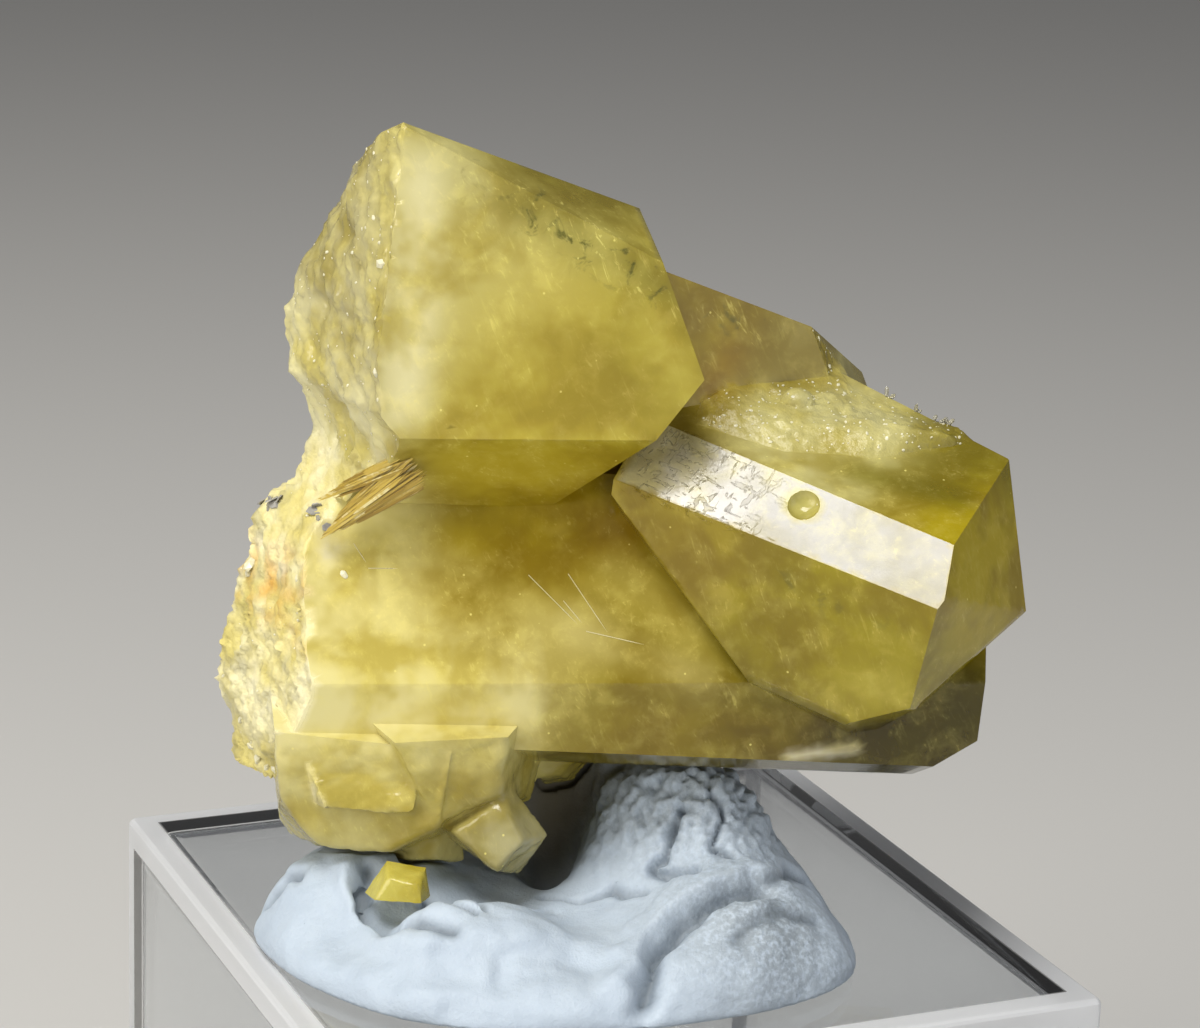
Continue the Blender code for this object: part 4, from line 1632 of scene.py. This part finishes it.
        tiny = bmesh.new()
        for spot in self.crest:
            for _ in range(3):
                foot, _ = skin.nearest(Vector(spot) + self.jitter(chance))
                spread = (chance.uniform(-0.9, 0.9), chance.uniform(-0.6, 0.3), chance.uniform(0.2, 0.9))
                tip = foot + Vector(spread).normalized() * chance.uniform(0.25, 0.55)
                self.prism(tiny, foot, tip, chance.uniform(0.06, 0.11))
        return [
            self.piece("pale_grains", grains, PALE_GRAINS),
            self.piece("grey_mica_plates", plates, GREY_MICA),
            self.piece("pale_needles", needles, NEEDLES),
            self.piece("tiny_clear_crystals", tiny, TINY_CRYSTALS),
        ]


@dataclass(frozen=True)
class Softbox:
    """A soft rectangular lamp: its place, width and height in specimen millimetres and its light."""

    name: str
    place: Point
    size: tuple[float, float]
    watts: float
    colour: str
    mirrored: bool = True


@dataclass
class Studio:
    """The pale floor, the soft light and the camera at the photo's viewing angle."""

    lens: float = 106.4
    sensor: float = 36.0
    pitch: float = 16.01
    roll: float = 1.98
    distance: float = 184.2
    target: Point = (-0.2, 0.0, 21.7)
    floor_side: float = 4.0
    paper: str = "#C2C1BF"
    surroundings: str = "#E9E9EA"
    surroundings_strength: float = 0.2
    lamp_aim: Point = (0.0, -4.0, 20.0)
    strip_place: Point = (12.0, -9.5, 24.5)
    strip_shine: Point = (-0.249, -0.322, 0.913)
    overhead_distance: float = 360.0
    softboxes: tuple[Softbox, ...] = (
        Softbox("left softbox", (-330.0, -220.0, 150.0), (240.0, 240.0), 1.1, "#FFFAF0"),
        Softbox("right fill", (320.0, -160.0, 120.0), (260.0, 260.0), 0.2, "#F2F6FF"),
        Softbox("low front fill", (120.0, -330.0, -10.0), (240.0, 100.0), 0.6, "#FFFBF2", False),
    )

    def camera(self) -> bpy.types.Object:
        """Set the scene's camera."""
        tilt, turn = math.radians(self.pitch), math.radians(self.roll)
        forward = Vector((0.0, math.cos(tilt), -math.sin(tilt)))
        up = Vector((0.0, math.sin(tilt), math.cos(tilt)))
        right = Vector((1.0, 0.0, 0.0))
        level = right * math.cos(turn) + up * math.sin(turn)
        upright = up * math.cos(turn) - right * math.sin(turn)
        eye = Vector(self.target) - forward * self.distance
        turned = Matrix((level, upright, -forward)).transposed().to_4x4()
        to_model = SPECIMEN.to_model()
        data = bpy.data.cameras.new("camera")
        data.lens = self.lens
        data.sensor_width = self.sensor
        data.clip_start = 0.005
        data.clip_end = 50.0
        camera = bpy.data.objects.new("camera", data)
        spin = to_model.to_quaternion().to_matrix().to_4x4()
        camera.matrix_world = Matrix.Translation(to_model @ eye) @ spin @ turned
        bpy.context.scene.collection.objects.link(camera)
        bpy.context.scene.camera = camera
        return camera

    def lamp(self, softbox: Softbox, aim: Vector) -> bpy.types.Object:
        """Add a lamp.

        Args:
            softbox: what it is and where it stands.
            aim: what it looks at, in specimen millimetres.

        Returns:
            The lamp.
        """
        data = bpy.data.lights.new(softbox.name, "AREA")
        data.shape = "RECTANGLE"
        data.size, data.size_y = softbox.size[0] * MM, softbox.size[1] * MM
        data.energy = softbox.watts
        data.color = linear(softbox.colour)[:3]
        lamp = bpy.data.objects.new(softbox.name, data)
        to_model = SPECIMEN.to_model()
        start, end = to_model @ Vector(softbox.place), to_model @ aim
        aimed = (end - start).to_track_quat("-Z", "Y").to_matrix().to_4x4()
        lamp.matrix_world = Matrix.Translation(start) @ aimed
        lamp.visible_glossy = softbox.mirrored
        bpy.context.scene.collection.objects.link(lamp)
        return lamp

    def light(self) -> None:
        """Add the soft lamps and the pale surroundings."""
        # The overhead lamp stands where the bright strip mirrors it.
        strip = Vector(self.strip_place)
        place = tuple(strip + Vector(self.strip_shine) * self.overhead_distance)
        light = {"size": (210.0, 170.0), "watts": 1.5, "colour": "#FFFDF8"}
        self.lamp(Softbox("overhead softbox", place, **light), strip)
        for softbox in self.softboxes:
            self.lamp(softbox, Vector(self.lamp_aim))
        world = bpy.data.worlds.new("studio surroundings")
        bpy.context.scene.world = world
        world.use_nodes = True
        sky = world.node_tree.nodes["Background"].inputs
        sky["Color"].default_value = linear(self.surroundings)
        sky["Strength"].default_value = self.surroundings_strength

    def floor(self) -> bpy.types.Object:
        """Lay the pale floor."""
        material, tree = new_material("Pale matt paper")
        links = {"Base Color": linear(self.paper), "Roughness": 0.85}
        shader = add_node(tree, "ShaderNodeBsdfPrincipled", links)
        add_node(tree, "ShaderNodeOutputMaterial", {"Surface": shader.outputs["BSDF"]})
        bm = bmesh.new()
        bmesh.ops.create_grid(bm, x_segments=1, y_segments=1, size=self.floor_side / 2)
        mesh = bpy.data.meshes.new("floor")
        bm.to_mesh(mesh)
        bm.free()
        mesh.materials.append(material)
        floor = bpy.data.objects.new("floor", mesh)
        bpy.context.scene.collection.objects.link(floor)
        return floor


def main() -> None:
    """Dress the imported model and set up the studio."""
    logging.basicConfig(level=logging.INFO, format="%(name)s: %(message)s")
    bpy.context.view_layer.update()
    bpy.context.scene.view_settings.view_transform = "Standard"

    brazilianite = BrazilianiteFinish().material()
    cluster = CrystalCluster().build(brazilianite)
    LOG.info("%s: %d faces", cluster.name, len(cluster.data.polygons))
    chip = CrystalChip().build(brazilianite)
    LOG.info("%s: %d faces", chip.name, len(chip.data.polygons))
    flake = MicaFlake().build(MicaFinish().material())
    LOG.info("%s: %d faces", flake.name, len(flake.data.polygons))
    pad = PuttyPad().build(PuttyFinish().material())
    LOG.info("%s: %d faces", pad.name, len(pad.data.polygons))
    box = DisplayBox().build(ClearBoxFinish().material())
    LOG.info("%s: %d faces", box.name, len(box.data.polygons))
    for piece in SurfaceBits().build(cluster):
        LOG.info("%s: %d faces", piece.name, len(piece.data.polygons))

    studio = Studio()
    studio.floor()
    studio.light()
    studio.camera()


if __name__ == "__main__":
    main()
